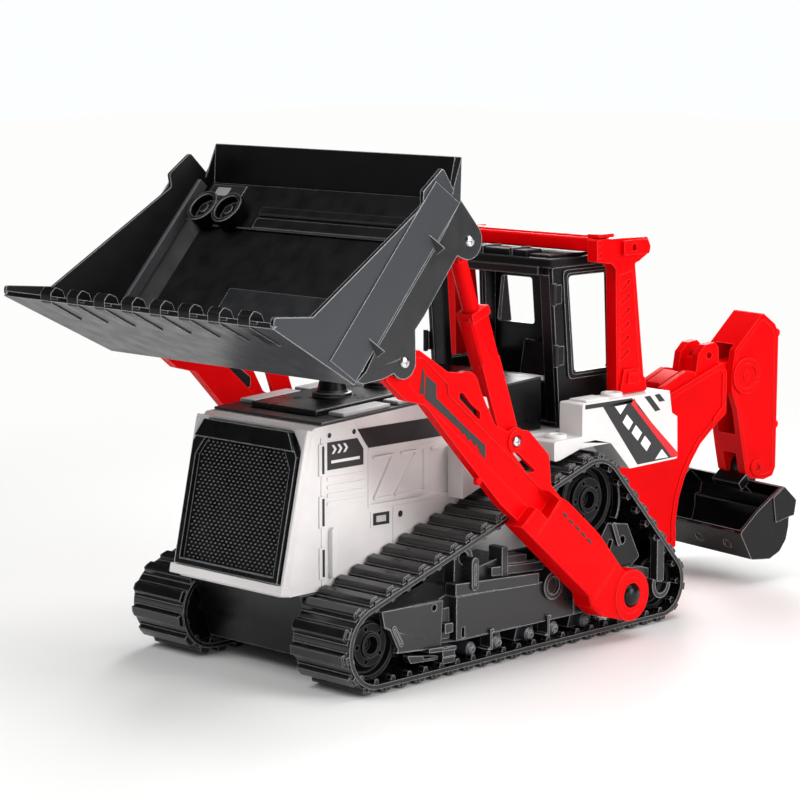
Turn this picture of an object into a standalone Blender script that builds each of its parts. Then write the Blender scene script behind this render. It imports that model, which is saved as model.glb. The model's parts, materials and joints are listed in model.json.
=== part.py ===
"""Toy tracked backhoe loader, modelled as separate moulded pieces on their joints.

Run it in Blender: blender --background --python part.py
The machine faces -Y, its left side is +X and +Z is up. Lengths below are millimetres; the scene
is in metres. In the design numbers Y is counted from the front idler's axle, and MID_Y moves the
whole machine so that the origin is under the middle of its box. The pose is loader raised,
bucket level and backhoe swung a little to the left.
"""

import math

import bmesh
import bpy
from mathutils import Matrix, Vector

MM = 0.001
MID_Y = 165.9          # design Y that becomes the scene's Y = 0
GAP = 0.3              # clearance between neighbouring pieces

# Tracks
BELT_IN, BELT_OUT = 45.6, 90.0        # belt faces, from the middle plane
BAND = 2.6                            # belt thickness without its lugs
LUG = 3.5                             # lug height
LUG_COUNT = 50
FRONT_IDLER = (0.0, 26.7, 23.2)       # Y, Z, radius to the belt's outer face
SPROCKET = (181.0, 83.1, 25.2)
REAR_IDLER = (243.4, 23.4, 19.9)
WHEEL_IN, WHEEL_OUT = 56.0, 82.0      # wheel faces
AXLE_R, BORE_R = 2.0, 2.3
ROLLER_Y = (80.0, 101.7, 129.5, 151.0, 178.5)
ROLLER_Z, ROLLER_R, STUB_R = 10.6, 4.2, 1.5

# Body
HULL = 45.2                           # half width between the tracks
WALL = 2.4                            # thickness of the body's shells
DECK_Z = 121.0                        # top of the deck that carries the cab
DECK_HALF = 61.7
HOOD_FRONT_LOW = (-28.8, 51.3)
HOOD_FRONT_TOP = (-8.8, 141.6)
HOOD_SLOPE = 0.053                    # rise of the hood's top towards the cab
HOOD_END = 181.5
COVER_THICK = 3.4
CAB_HALF = 52.0
CAB_TOP = 218.0
FENDER_IN, FENDER_OUT = 62.0, 80.0
FENDER_TOP = 140.0

# Loader
ARM_PIVOT = (196.0, 26.5)
ARM_IN, ARM_OUT = 90.6, 97.0
ARM_BOX_OUT = 104.0
BUCKET_PIVOT = (8.3, 183.0)
ROD_PIN = (58.8, 244.8)
CYLINDER_PIN = (101.0, 129.1)
EAR_IN, EAR_OUT = 97.4, 100.0
EYE_IN, EYE_OUT = 90.6, 93.6
BARREL_START, ROD_START = 30.0, 50.5      # distances from the clevis pin along the cylinder
TUBE_R, TUBE_HALF = 3.6, 92.4         # cross tube between the arms
PIN_HOLE_R = 2.4                      # holes for the loader's pins and screws
BUCKET_WALL = 2.4
BUCKET_HALF = 99.8                    # half width at the back's crease
BUCKET_FLARE = 0.147                  # widening per millimetre in front of the crease
FLANGE_HALF = 98.0                    # half width of the raised back edge

# Loader bucket's folds, from lip to raised back edge
BUCKET_SECTION = {
    "tip": (-96.6, 210.8), "bend": (-28.8, 174.4), "top": (52.3, 266.0), "flange": (55.0, 290.4),
}

# Backhoe, in its own frame: y runs back along the boom, x to its left
SWING_Y = 262.0
SWING_DEG = 10.0
BOOM_HALF = 15.0
TONGUE_HALF = 7.8
DIPPER_HALF = 13.5
DIPPER_PIVOT = (135.0, 131.3)
REAR_BUCKET_PIVOT = (146.5, 69.0)
REAR_BUCKET_HALF = 45.5

RED = (0.72, 0.006, 0.008)
WHITE = (0.78, 0.76, 0.75)
BLACK = (0.012, 0.012, 0.014)
TRACK_BLACK = (0.016, 0.016, 0.017)
GREY_STEEL = (0.62, 0.63, 0.65)


# ---------------------------------------------------------------- scene and materials

def clear_scene():
    for obj in list(bpy.data.objects):
        bpy.data.objects.remove(obj, do_unlink=True)


def new_collection(name):
    collection = bpy.data.collections.new(name)
    bpy.context.scene.collection.children.link(collection)
    return collection


def plastic(name, colour, roughness, metallic=0.0):
    material = bpy.data.materials.new(name)
    material.use_nodes = True
    shader = material.node_tree.nodes["Principled BSDF"]
    shader.inputs["Base Color"].default_value = (*colour, 1.0)
    shader.inputs["Roughness"].default_value = roughness
    shader.inputs["Metallic"].default_value = metallic
    return material


def place(x, y, z):
    """A design point in the scene."""
    return Vector((x, y - MID_Y, z)) * MM


# ---------------------------------------------------------------- basic solids

def link_mesh(name, mesh):
    obj = bpy.data.objects.new(name, mesh)
    PARTS.objects.link(obj)
    return obj


def box(name, low, high):
    """A box between two design corners."""
    mesh = bpy.data.meshes.new(name)
    work = bmesh.new()
    size = [(b - a) * MM for a, b in zip(low, high)]
    bmesh.ops.create_cube(work, size=1.0, matrix=Matrix.Diagonal((*size, 1.0)))
    work.to_mesh(mesh)
    work.free()
    obj = link_mesh(name, mesh)
    obj.location = place(*[(a + b) / 2 for a, b in zip(low, high)])
    return obj


def rod(name, centre, axis, radius, length, sides=24, end_radius=None):
    """A cylinder or cone about X, Y or Z, centred on a design point."""
    mesh = bpy.data.meshes.new(name)
    work = bmesh.new()
    bmesh.ops.create_cone(
        work, cap_ends=True, segments=sides, radius1=radius * MM,
        radius2=(radius if end_radius is None else end_radius) * MM, depth=length * MM,
    )
    work.to_mesh(mesh)
    work.free()
    obj = link_mesh(name, mesh)
    obj.location = place(*centre)
    if axis == "X":
        obj.rotation_euler = (0, math.pi / 2, 0)
    if axis == "Y":
        obj.rotation_euler = (-math.pi / 2, 0, 0)
    return obj


def side_plate(name, outline, x_low, x_high, holes=()):
    """A flat outline in (Y, Z), with holes, filling the width between two X values."""
    curve = bpy.data.curves.new(name, "CURVE")
    curve.dimensions = "2D"
    curve.fill_mode = "BOTH"
    curve.extrude = abs(x_high - x_low) / 2 * MM
    for points in (outline, *holes):
        spline = curve.splines.new("POLY")
        spline.points.add(len(points) - 1)
        spline.use_cyclic_u = True
        for point, (y, z) in zip(spline.points, points):
            point.co = ((y - MID_Y) * MM, z * MM, 0.0, 1.0)
    guide = bpy.data.objects.new(name, curve)
    PARTS.objects.link(guide)
    # The curve's own X, Y and Z become the machine's Y, Z and X.
    turn = Matrix(((0, 0, 1, 0), (1, 0, 0, 0), (0, 1, 0, 0), (0, 0, 0, 1)))
    guide.matrix_world = Matrix.Translation(((x_low + x_high) / 2 * MM, 0, 0)) @ turn
    return curve_to_mesh(guide)


def front_plate(name, outline, y_low, y_high, holes=()):
    """A flat outline in (X, Z), filling the depth between two Y values."""
    plate = side_plate(name, [(x + MID_Y, z) for x, z in outline], 0.0, y_high - y_low,
                       [[(x + MID_Y, z) for x, z in hole] for hole in holes])
    plate.data.transform(plate.matrix_world)
    plate.matrix_world = Matrix.Identity(4)
    # The plate's Y holds the outline's X here, and its X runs from 0 to the depth.
    turn = Matrix(((0, 1, 0, 0), (-1, 0, 0, (y_high - MID_Y) * MM), (0, 0, 1, 0), (0, 0, 0, 1)))
    plate.data.transform(turn)
    return plate


def curve_to_mesh(guide):
    bpy.context.view_layer.update()
    graph = bpy.context.evaluated_depsgraph_get()
    mesh = bpy.data.meshes.new_from_object(guide.evaluated_get(graph))
    work = bmesh.new()
    work.from_mesh(mesh)
    bmesh.ops.remove_doubles(work, verts=work.verts, dist=1e-6)
    bmesh.ops.recalc_face_normals(work, faces=work.faces)
    work.to_mesh(mesh)
    work.free()
    name = guide.name
    world = guide.matrix_world.copy()
    bpy.data.objects.remove(guide, do_unlink=True)
    obj = link_mesh(name, mesh)
    obj.matrix_world = world
    return obj


def turned(name, profile, centre, axis="X", steps=24):
    """A turned piece. The profile is (radius, height along the axis), outer side downwards."""
    mesh = bpy.data.meshes.new(name)
    points = [(radius * MM, 0.0, height * MM) for radius, height in profile]
    count = len(points)
    loop = [(i, (i + 1) % count) for i in range(count)]
    if profile[0][0] < 1e-6:
        loop = loop[:-1]
    mesh.from_pydata(points, loop, [])
    obj = link_mesh(name, mesh)
    screw = obj.modifiers.new("Turn", "SCREW")
    screw.steps = steps
    screw.render_steps = steps
    screw.use_merge_vertices = True
    screw.merge_threshold = 0.00001
    screw.use_smooth_shade = True
    obj.location = place(*centre)
    if axis == "X":
        obj.rotation_euler = (0, math.pi / 2, 0)
    return obj


def as_helper(obj, title):
    obj.name = title
    PARTS.objects.unlink(obj)
    HELPERS.objects.link(obj)
    obj.hide_render = True
    obj.display_type = "WIRE"


def combine(base, pieces, operation, label):
    first = len(base.modifiers)
    for number, piece in enumerate(pieces, first):
        as_helper(piece, f"{base.name}_{label}_{number}")
        change = base.modifiers.new(f"{label}_{number}", "BOOLEAN")
        change.operation = operation
        change.solver = "EXACT"
        change.object = piece
    return base


def join(base, *pieces):
    return combine(base, pieces, "UNION", "join")


def cut(base, *pieces):
    return combine(base, pieces, "DIFFERENCE", "cut")


def finish(obj, material, origin=None):
    """Give a piece its material, smooth shading and an origin on its joint's axis."""
    if origin is not None:
        bpy.context.view_layer.update()
        shift = obj.matrix_world.inverted() @ place(*origin)
        obj.data.transform(Matrix.Translation(-shift))
        obj.matrix_world = obj.matrix_world @ Matrix.Translation(shift)
    obj.data.materials.clear()
    obj.data.materials.append(material)
    obj.data.shade_smooth()
    obj.data.set_sharp_from_angle(angle=math.radians(32))
    return obj


def arc(centre, radius, start_deg, end_deg, count):
    """Points along an arc, both ends included."""
    step = (end_deg - start_deg) / (count - 1)
    angles = [math.radians(start_deg + step * i) for i in range(count)]
    return [(centre[0] + radius * math.cos(a), centre[1] + radius * math.sin(a)) for a in angles]


# ---------------------------------------------------------------- chassis and body

def hood_top(y):
    return HOOD_FRONT_TOP[1] + 1.2 + HOOD_SLOPE * (y - HOOD_FRONT_TOP[0])


def chassis_belly():
    outline = [(-17, 50.8), (-4, 12), (30, 9), (225, 9), (252, 20), (252, 50.8), (182, 50.8)]
    belly = side_plate("chassis_belly", outline, -HULL, HULL)
    inside = [(-13, 60), (-1.5, 14.4), (30, 11.4), (224, 11.4), (249.6, 21.6), (249.6, 60)]
    belly = cut(belly, side_plate("hollow", inside, WALL - HULL, HULL - WALL))
    axles = [
        rod("bore", (0, wheel[0], wheel[1]), "X", BORE_R, 4 * HULL, 12)
        for wheel in (FRONT_IDLER, REAR_IDLER)
    ]
    return finish(cut(belly, *axles), MATERIALS["black"])


def hood_shell():
    wall = WALL
    end = hood_top(HOOD_END)
    low, top = HOOD_FRONT_LOW, HOOD_FRONT_TOP
    outline = [low, (HOOD_END, low[1]), (HOOD_END, end), (top[0] + 4, hood_top(top[0])), top]
    shell = side_plate("hood_shell", outline, -HULL, HULL)
    hollow = [
        (low[0] + wall, low[1] - 1), (HOOD_END - wall, low[1] - 1), (HOOD_END - wall, end - wall),
        (top[0] + 4, hood_top(top[0]) - wall), (top[0] + wall, top[1] - wall),
    ]
    inside = side_plate("hollow", hollow, wall - HULL, HULL - wall)
    bore = rod("bore", (0, SPROCKET[0], SPROCKET[1]), "X", BORE_R, 4 * HULL, 12)
    return finish(cut(shell, inside, bore), MATERIALS["white"])


def slanted(obj, origin):
    """Lean a piece built upright so that it lies on the hood's sloping front."""
    lean = math.atan2(HOOD_FRONT_TOP[0] - HOOD_FRONT_LOW[0], HOOD_FRONT_TOP[1] - HOOD_FRONT_LOW[1])
    pivot = place(*origin)
    turn = Matrix.Translation(pivot) @ Matrix.Rotation(-lean, 4, "X") @ Matrix.Translation(-pivot)
    bpy.context.view_layer.update()
    obj.data.transform(obj.matrix_world)
    obj.matrix_world = Matrix.Identity(4)
    obj.data.transform(turn)
    return obj


def grille():
    """Mesh panel in a chamfered frame with a lip that oversails its top corners."""
    y, z = HOOD_FRONT_LOW
    half, low, high = 41.0, z + 7, z + 89
    frame = [(-half, low), (half, low), (half, high - 16), (half - 9, high), (9 - half, high),
             (-half, high - 16)]
    panel = front_plate("grille", frame, y - GAP - 4.6, y - GAP)
    recess = [(-36, low + 4), (36, low + 4), (36, high - 19), (29, high - 9), (-29, high - 9),
              (-36, high - 19)]
    pocket = front_plate("pocket", recess, y - GAP - 8, y - GAP - 2.6)
    lip = box("lip", (-half - 1.6, y - GAP - 6, high - 9), (half + 1.6, y - GAP - 0.2, high + 1.4))
    panel = slanted(panel, (0, y, z))
    pocket = slanted(pocket, (0, y, z))
    lip = slanted(lip, (0, y, z))
    return finish(join(cut(panel, pocket), lip), MATERIALS["black"])


def cover_top(y):
    return hood_top(y) + GAP + COVER_THICK


def hood_top_cover():
    start, end = 6.0, 170.0
    low = hood_top(start) + GAP
    outline = [(start, low), (end, hood_top(end) + GAP), (end, cover_top(end)),
               (start + 5, cover_top(start + 5))]
    cover = side_plate("hood_top_cover", outline, -36, 36)
    return finish(cover, MATERIALS["black"])


def exhaust_stack():
    base = cover_top(51.5 + 11.5) + GAP
    profile = [(0, 19), (6.2, 19), (6.6, 17.8), (8.4, 2.2), (11.5, 2.0), (11.5, 0), (0, 0)]
    return finish(turned("exhaust_stack", profile, (0, 51.5, base), "Z"), MATERIALS["black"])


def air_filter_cap():
    base = cover_top(90 + 9) + GAP
    profile = [(0, 9.5), (4.5, 9.5), (5.2, 8.6), (5.2, 4), (9, 3), (9, 0), (0, 0)]
    return finish(turned("air_filter_cap", profile, (0, 90, base), "Z"), MATERIALS["black"])


def rear_body():
    """White body under the cab, with the deck above the tracks and a skirt at each side."""
    core = box("rear_body", (-HULL, HOOD_END + GAP, 51.1), (HULL, 252, 116))
    deck = box("deck", (-DECK_HALF, HOOD_END + GAP, 114.2), (DECK_HALF, 262, DECK_Z))
    pieces = [deck]
    skirt = [(100, 91), (153, 108.5), (183, 114.4), (183, DECK_Z), (100, DECK_Z)]
    for side in (-1, 1):
        inner, outer = side * (HULL + GAP), side * 57.4
        pieces.append(side_plate("skirt", skirt, inner, outer))
    inside = box("hollow", (WALL - HULL, HOOD_END + GAP + WALL, 40), (HULL - WALL, 249.6, 113.6))
    bore = rod("bore", (0, SPROCKET[0], SPROCKET[1]), "X", BORE_R, 4 * HULL, 12)
    return finish(cut(join(core, *pieces), inside, bore), MATERIALS["white"])


def fender(side, name):
    """White cover beside the cab, open towards the cab, its lower edge faceted over the track."""
    outline = [
        (153.5, 120.4), (153.5, 108.6), (158.6, 109), (177.2, 113.8), (204.5, 114),
        (222.3, 96.3), (267.9, 97), (267.2, 123.1), (261.9, 125.9), (259.5, FENDER_TOP),
        (178.4, FENDER_TOP), (178.4, 120.6),
    ]
    hollow = [
        (180.8, 118), (206, 116.2), (223.4, 98.7), (265.5, 99.4), (265, 121.6), (259.8, 124.6),
        (257.5, 137.8), (180.8, 137.8),
    ]
    shell = side_plate(name, outline, side * (FENDER_IN + GAP), side * FENDER_OUT)
    inside = side_plate("inside", hollow, side * (FENDER_IN - 2), side * (FENDER_OUT - 2.2))
    cap = rod("cap", (side * 71, 166, DECK_Z + 1.0), "Z", 6.5, 3, 16)
    return finish(join(cut(shell, inside), cap), MATERIALS["white"])


def cab_shell():
    """Cab frame: two side walls with a window each, a rear wall with two, floor and sills."""
    wall = 3.0
    floor = DECK_Z + GAP
    side = [(190.4, floor), (266, floor), (252, CAB_TOP), (182.3, CAB_TOP)]
    window = [(200.6, 153.6), (244, 153.6), (241, 213.2), (194.4, 213.2)]
    inner = CAB_HALF - wall
    shell = side_plate("cab_shell", side, inner, CAB_HALF, [window])
    other = side_plate("wall", side, -inner, -CAB_HALF, [window])
    rear_outline = [(-inner - 1, floor), (inner + 1, floor), (inner + 1, CAB_TOP),
                    (-inner - 1, CAB_TOP)]
    windows = [
        [(s * 15.5, 174.0), (s * 47.0, 174.0), (s * 43.5, 203.0), (s * 18.0, 203.0)]
        for s in (-1, 1)
    ]
    rear = front_plate("rear", rear_outline, 243, 246, windows)
    base = box("floor", (-inner - 1, 190.6, floor), (inner + 1, 246, floor + wall))
    header = box("header", (-inner - 1, 182.8, CAB_TOP - 5), (inner + 1, 186.5, CAB_TOP))
    return finish(join(shell, other, rear, base, header), MATERIALS["black"])


def cab_roof():
    low = CAB_TOP + GAP
    slab = box("cab_roof", (-53.5, 179.5, low), (53.5, 256, low + 5))
    hatch = box("hatch", (-42, 184, low + 4), (30, 200, low + 8.6))
    return finish(join(slab, hatch), MATERIALS["black"])


def driver_seat():
    floor = DECK_Z + GAP + 3.0 + GAP
    outline = [(206, floor), (236, floor), (240, floor + 41), (233, floor + 41), (228, floor + 16),
               (206, floor + 17)]
    return finish(side_plate("driver_seat", outline, -15, 15), MATERIALS["black"])


def rops_arch():
    """Red roll-over arch: two posts with flared heads, and a beam over the cab's roof."""
    foot = FENDER_TOP + GAP
    post = [
        (202, 234.5), (202, 221.0), (215, 219.6), (219.2, 216), (221.5, foot), (248, foot),
        (246.5, 149), (237, 218.4), (241, 219.5), (249, 223.5), (248.8, 233.6),
    ]
    inner, outer = FENDER_IN + GAP, 70.0
    left = side_plate("rops_arch", post, inner, outer)
    right = side_plate("post", post, -inner, -outer)
    beam = box("beam", (-inner - 1, 204, 226.6), (inner + 1, 221, 235.4))
    pieces = [right, beam]
    for side in (-1, 1):
        pad = box("pad", (side * 64 - 5, 205, 235), (side * 64 + 5, 219, 237.4))
        lug = box("lug", (side * 70 - 2.5, 226, 223.5), (side * 70 + 2.5, 248.4, 233.2))
        pieces += [pad, lug]
    return finish(join(left, *pieces), MATERIALS["red"])


# ---------------------------------------------------------------- tracks

def loop_around(wheels, extra):
    """The belt's path round its wheels: dense (Y, Z) points, counter-clockwise from +X."""
    points = []
    count = len(wheels)
    for i, (y, z, radius) in enumerate(wheels):
        before, after = wheels[i - 1], wheels[(i + 1) % count]
        angles = []
        for (y0, z0, r0), (y1, z1, r1) in ((before, wheels[i]), (wheels[i], after)):
            along = math.atan2(z1 - z0, y1 - y0)
            lean = math.asin((r1 - r0) / math.hypot(y1 - y0, z1 - z0))
            angles.append(math.degrees(along - math.pi / 2 - lean))
        start, end = angles
        while end < start:
            end += 360
        steps = max(4, int((end - start) / 9))
        points += arc((y, z), radius + extra, start, end, steps)
    return points


def along(points, distance):
    """Point and outward normal at a distance along a closed counter-clockwise path."""
    count = len(points)
    for i in range(count):
        (y0, z0), (y1, z1) = points[i], points[(i + 1) % count]
        length = math.hypot(y1 - y0, z1 - z0)
        if distance <= length:
            t = distance / length
            return (y0 + (y1 - y0) * t, z0 + (z1 - z0) * t), ((z1 - z0) / length, (y0 - y1) / length)
        distance -= length
    return points[0], (0, -1)


def path_length(points):
    return sum(math.dist(points[i - 1], points[i]) for i in range(len(points)))


def track_belt(side, name):
    """One belt: a band round the wheels with trapezoid lugs across its whole width."""
    wheels = (FRONT_IDLER, REAR_IDLER, SPROCKET)
    path = loop_around(wheels, 0.0)
    pitch = path_length(path) / LUG_COUNT
    outline = []
    for i in range(LUG_COUNT):
        middle = (i + 0.5) * pitch
        for offset, height in ((-4.3, 0.0), (-2.9, LUG), (2.9, LUG), (4.3, 0.0)):
            (y, z), (ny, nz) = along(path, middle + offset)
            outline.append((y + ny * height, z + nz * height))
    belt = side_plate(name, outline, side * BELT_IN, side * BELT_OUT, [loop_around(wheels, -BAND)])
    return finish(belt, MATERIALS["track"])


def wheel(name, side, spec, hub, dish):
    """Belt wheel: rim, dished face, raised hub and a blind recess round the axle."""
    radius = spec[2] - BAND - 0.5
    half = (WHEEL_OUT - WHEEL_IN) / 2
    profile = [
        (BORE_R, half - 4), (hub * 0.42, half - 4), (hub * 0.42, half), (hub, half),
        (hub, half - dish), (radius - 3.5, half - dish), (radius - 2, half), (radius, half - 1),
        (radius, -half), (BORE_R, -half),
    ]
    profile = [(r, h * side) for r, h in profile]
    if side < 0:
        profile = list(reversed(profile))
    centre = (side * (WHEEL_IN + WHEEL_OUT) / 2, spec[0], spec[1])
    return finish(turned(name, profile, centre), MATERIALS["black"])


def roller(name, side, y):
    profile = [(0, 10), (2.2, 10), (2.2, 8.5), (ROLLER_R, 8.5), (ROLLER_R, -10), (STUB_R, -10),
               (STUB_R, -13.5), (0, -13.5)]
    profile = [(r, h * side) for r, h in profile]
    if side < 0:
        profile = list(reversed(profile))
    centre = (side * 73.5, y, ROLLER_Z)
    return finish(turned(name, profile, centre, steps=16), MATERIALS["steel"])


def track_frame(side, name):
    """Side frame inside the belt: core, outer plates, roller cradle and the strap's boss."""
    def plate(title, outline, low, high):
        return side_plate(title, outline, side * low, side * high)

    core = [
        (25, 20), (70, 16.5), (190, 16.5), (221, 18), (221, 34), (205, 42), (196, 50), (168, 50),
        (158, 44), (112, 60), (84, 56), (70, 47), (52, 42), (25, 38),
    ]
    strap = [(76, 40), (84, 40), (84, 56), *arc((80, 57), 4, 0, 180, 7), (76, 56)]
    pieces = [
        plate("inner", [(70, 24), (176, 24), (176, 40), (70, 40)], HULL + GAP, 57),
        plate("web", [(26, 22), (62, 20), (62, 38), (26, 37)], 80, 83),
        plate("front", [(6, 20), (12, 13), (62, 13), (62, 24), (54.5, 43.5), (14, 41), (6, 34)],
              WHEEL_OUT + 0.6, 85.5),
        plate("main", [(64.5, 18), (172.5, 17), (172.5, 39), (118, 46), (64.5, 43)], 80, 86.5),
        plate("rear", [(174, 19), (216, 19), (226, 24), (226, 32), (216, 36), (174, 36)], 80, 85),
        plate("cradle", [(68, 8.4), (74, 17.5), (186, 17.5), (190, 8.4)], 56.5, 62.8),
        plate("strap", strap, 80, 88.2),
    ]
    stubs = [rod("stub", (side * 61, y, ROLLER_Z), "X", STUB_R + 0.3, 8, 12) for y in ROLLER_Y]
    return finish(cut(join(plate(name, core, 56.5, 80.6), *pieces), *stubs), MATERIALS["black"])


def axle(name, spec):
    length = 2 * (WHEEL_OUT - 4.5)
    return finish(rod(name, (0, spec[0], spec[1]), "X", AXLE_R, length, 12), MATERIALS["steel"])


# ---------------------------------------------------------------- loader

def loader_arm(side, name):
    """Bent arm: outer plate with hump and clevis lug, inner rib, and a box section to the boss."""
    def span(low, high):
        return side * low, side * high

    plate = [
        (23.1, 188), (8, 188.5), (0, 186), (-2.1, 173.6), (13.1, 161.3), (27.8, 157.5),
        (53.2, 131), (89.3, 94.1), (107.9, 79.5), (128, 62), (150, 84), (140, 92), (131.7, 100),
        (129.7, 117.7), (112, 134), *arc((101, 129.1), 8, 45, 135, 5), (84, 140), (72.4, 160),
        *arc((60, 162), 11, 10, 110, 5), (45.8, 173.8),
    ]
    slot = [(98.3, 123), (102, 123), (119, 109.6), (111, 109.6)]
    hump_slot = [(54.9, 158.1), (71.6, 143.9), (71.6, 149), (64.7, 154), (57.9, 161.1), (54.9, 161.5)]
    arm = side_plate(name, plate, *span(94.0, ARM_OUT), [slot, hump_slot])
    rib = [
        (18, 184), (8, 186), (0, 184), (-2.1, 173.6), (13.1, 161.3), (27.8, 157.5),
        (53.2, 131), (89.3, 94.1), (107.9, 79.5), (128, 62), (150, 84), (140, 90), (110, 107.5),
        (42, 167.5),
    ]
    inner = side_plate("rib", rib, *span(ARM_IN, 94.2))
    boss_low = [(160.7, 24.6), (170.5, 17.5)]
    box_section = [
        (99.6, 80.8), (131.8, 53.9), (158.2, 32.1), *boss_low, (196, 10.8),
        (205, 30), (187.2, 45.5), (166.9, 68.2), (139.1, 90.8), (122.6, 99.1),
    ]
    lower = side_plate("lower", box_section, *span(ARM_IN, ARM_BOX_OUT))
    boss = rod("boss", (side * (ARM_IN + 105) / 2, *ARM_PIVOT), "X", 15.7, 105 - ARM_IN, 32)
    bore = rod("bore", (side * 98, *ARM_PIVOT), "X", 7.4, 30, 24)
    pin_hole = rod("hole", (side * 95, *CYLINDER_PIN), "X", PIN_HOLE_R, 12, 16)
    tip_hole = rod("hole", (side * 95, *BUCKET_PIVOT), "X", PIN_HOLE_R, 20, 16)
    tube_seat = rod("seat", (side * 89.6, *BUCKET_PIVOT), "X", TUBE_R + GAP, 6.2, 20)
    arm = join(arm, inner, lower, boss)
    return finish(cut(arm, bore, pin_hole, tip_hole, tube_seat), MATERIALS["red"],
                  (side * 98, *ARM_PIVOT))


def arm_cross_tube():
    """Tube between the arms' tips, on the bucket's hinge axis; the hinge screws bite into it."""
    tube = rod("arm_cross_tube", (0, *BUCKET_PIVOT), "X", TUBE_R, 2 * TUBE_HALF, 20)
    bore = [rod("bore", (s * TUBE_HALF, *BUCKET_PIVOT), "X", BORE_R, 30, 16) for s in (-1, 1)]
    return finish(cut(tube, *bore), MATERIALS["black"])


def arm_pivot_pin(side, name):
    """Stub axle from the track frame through the arm's boss, with a domed cap."""
    profile = [(0, 9.5), (4, 9.0), (6.4, 7.6), (7.0, 6.2), (7.0, -12.7), (0, -12.7)]
    profile = [(r, h * side) for r, h in profile]
    if side < 0:
        profile = list(reversed(profile))
    return finish(turned(name, profile, (side * 98, *ARM_PIVOT)), MATERIALS["black"])


def bucket_x(y, z):
    """Half width of the flared bucket at a point of its side, outside face."""
    (y0, z0), (y1, z1) = BUCKET_SECTION["bend"], BUCKET_SECTION["top"]
    length = math.hypot(y1 - y0, z1 - z0)
    depth = (-(y - y0) * (z1 - z0) + (z - z0) * (y1 - y0)) / length
    return BUCKET_HALF + BUCKET_FLARE * max(depth, 0.0)


def front_bucket():
    """Flared bucket: a folded open sheet given a thickness, with ears behind its back."""
    rim = [
        (-95.9, 216.6), (-65.9, 214), (0.1, 254.3), (19.5, 266.3), (19.4, 275.5), (24, 283),
        (29.5, 286.1), (34, 284), (40.9, 277),
    ]
    work = bmesh.new()
    rows = {
        key: [work.verts.new(place(s * bucket_x(y, z), y, z)) for s in (-1, 1)]
        for key, (y, z) in BUCKET_SECTION.items()
    }
    flange = BUCKET_SECTION["flange"]
    rows["flange"] = [work.verts.new(place(s * FLANGE_HALF, *flange)) for s in (-1, 1)]
    for a, b in (("tip", "bend"), ("bend", "top"), ("top", "flange")):
        work.faces.new((rows[a][0], rows[a][1], rows[b][1], rows[b][0]))
    for index, s in enumerate((-1, 1)):
        rim_points = [work.verts.new(place(s * bucket_x(y, z), y, z)) for y, z in rim]
        loop = [rows["tip"][index], *rim_points, rows["top"][index], rows["bend"][index]]
        work.faces.new(loop)
        work.faces.new((rows["top"][index], rim_points[-1], rows["flange"][index]))
    bmesh.ops.recalc_face_normals(work, faces=work.faces)
    mesh = bpy.data.meshes.new("front_bucket")
    work.to_mesh(mesh)
    work.free()
    bucket = link_mesh("front_bucket", mesh)
    shell = bucket.modifiers.new("Wall", "SOLIDIFY")
    shell.thickness = BUCKET_WALL * MM
    shell.offset = -1.0
    shell.use_even_offset = True
    pieces = []
    ear = [
        (52.3, 267.4), (38, 249), (-12, 192.5), (-20, 181), (-27, 176.0), (-22.3, 174.3), (-7.4, 175.5),
        *arc(BUCKET_PIVOT, 9.2, 215, 350, 8), (17, 199.7), (24.1, 206.8), (49.4, 237.2),
        *arc(ROD_PIN, 10.4, 250, 400, 8),
    ]
    for s in (-1, 1):
        pieces.append(side_plate("ear", ear, s * EAR_IN, s * EAR_OUT))
        pieces.append(rod("spacer", (s * 96.0, *ROD_PIN), "X", 6.0, 3.4, 16))
    bores = [
        rod("bore", (s * 97, *pin), "X", PIN_HOLE_R, 10, 16)
        for s in (-1, 1) for pin in (BUCKET_PIVOT, ROD_PIN)
    ]
    return finish(cut(join(bucket, *pieces), *bores), MATERIALS["black"], (0, *BUCKET_PIVOT))


def bucket_screw(side, name, pin, inner):
    """Round-headed screw through an ear, its shank towards the middle."""
    head = EAR_OUT + GAP
    profile = [(0, 1.8), (2.0, 1.7), (3.2, 0.9), (3.2, 0), (2.0, 0), (2.0, inner - head),
               (0, inner - head)]
    profile = [(r, h * side) for r, h in profile]
    if side < 0:
        profile = list(reversed(profile))
    return finish(turned(name, profile, (side * head, *pin), steps=16), MATERIALS["steel"])


def cylinder_frame():
    """Unit vector from the clevis pin to the bucket pin, and the distance, in (Y, Z)."""
    dy, dz = ROD_PIN[0] - CYLINDER_PIN[0], ROD_PIN[1] - CYLINDER_PIN[1]
    length = math.hypot(dy, dz)
    return (dy / length, dz / length), length


def on_cylinder(distance, offset=0.0):
    (uy, uz), _ = cylinder_frame()
    return (CYLINDER_PIN[0] + uy * distance + uz * offset,
            CYLINDER_PIN[1] + uz * distance - uy * offset)


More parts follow.
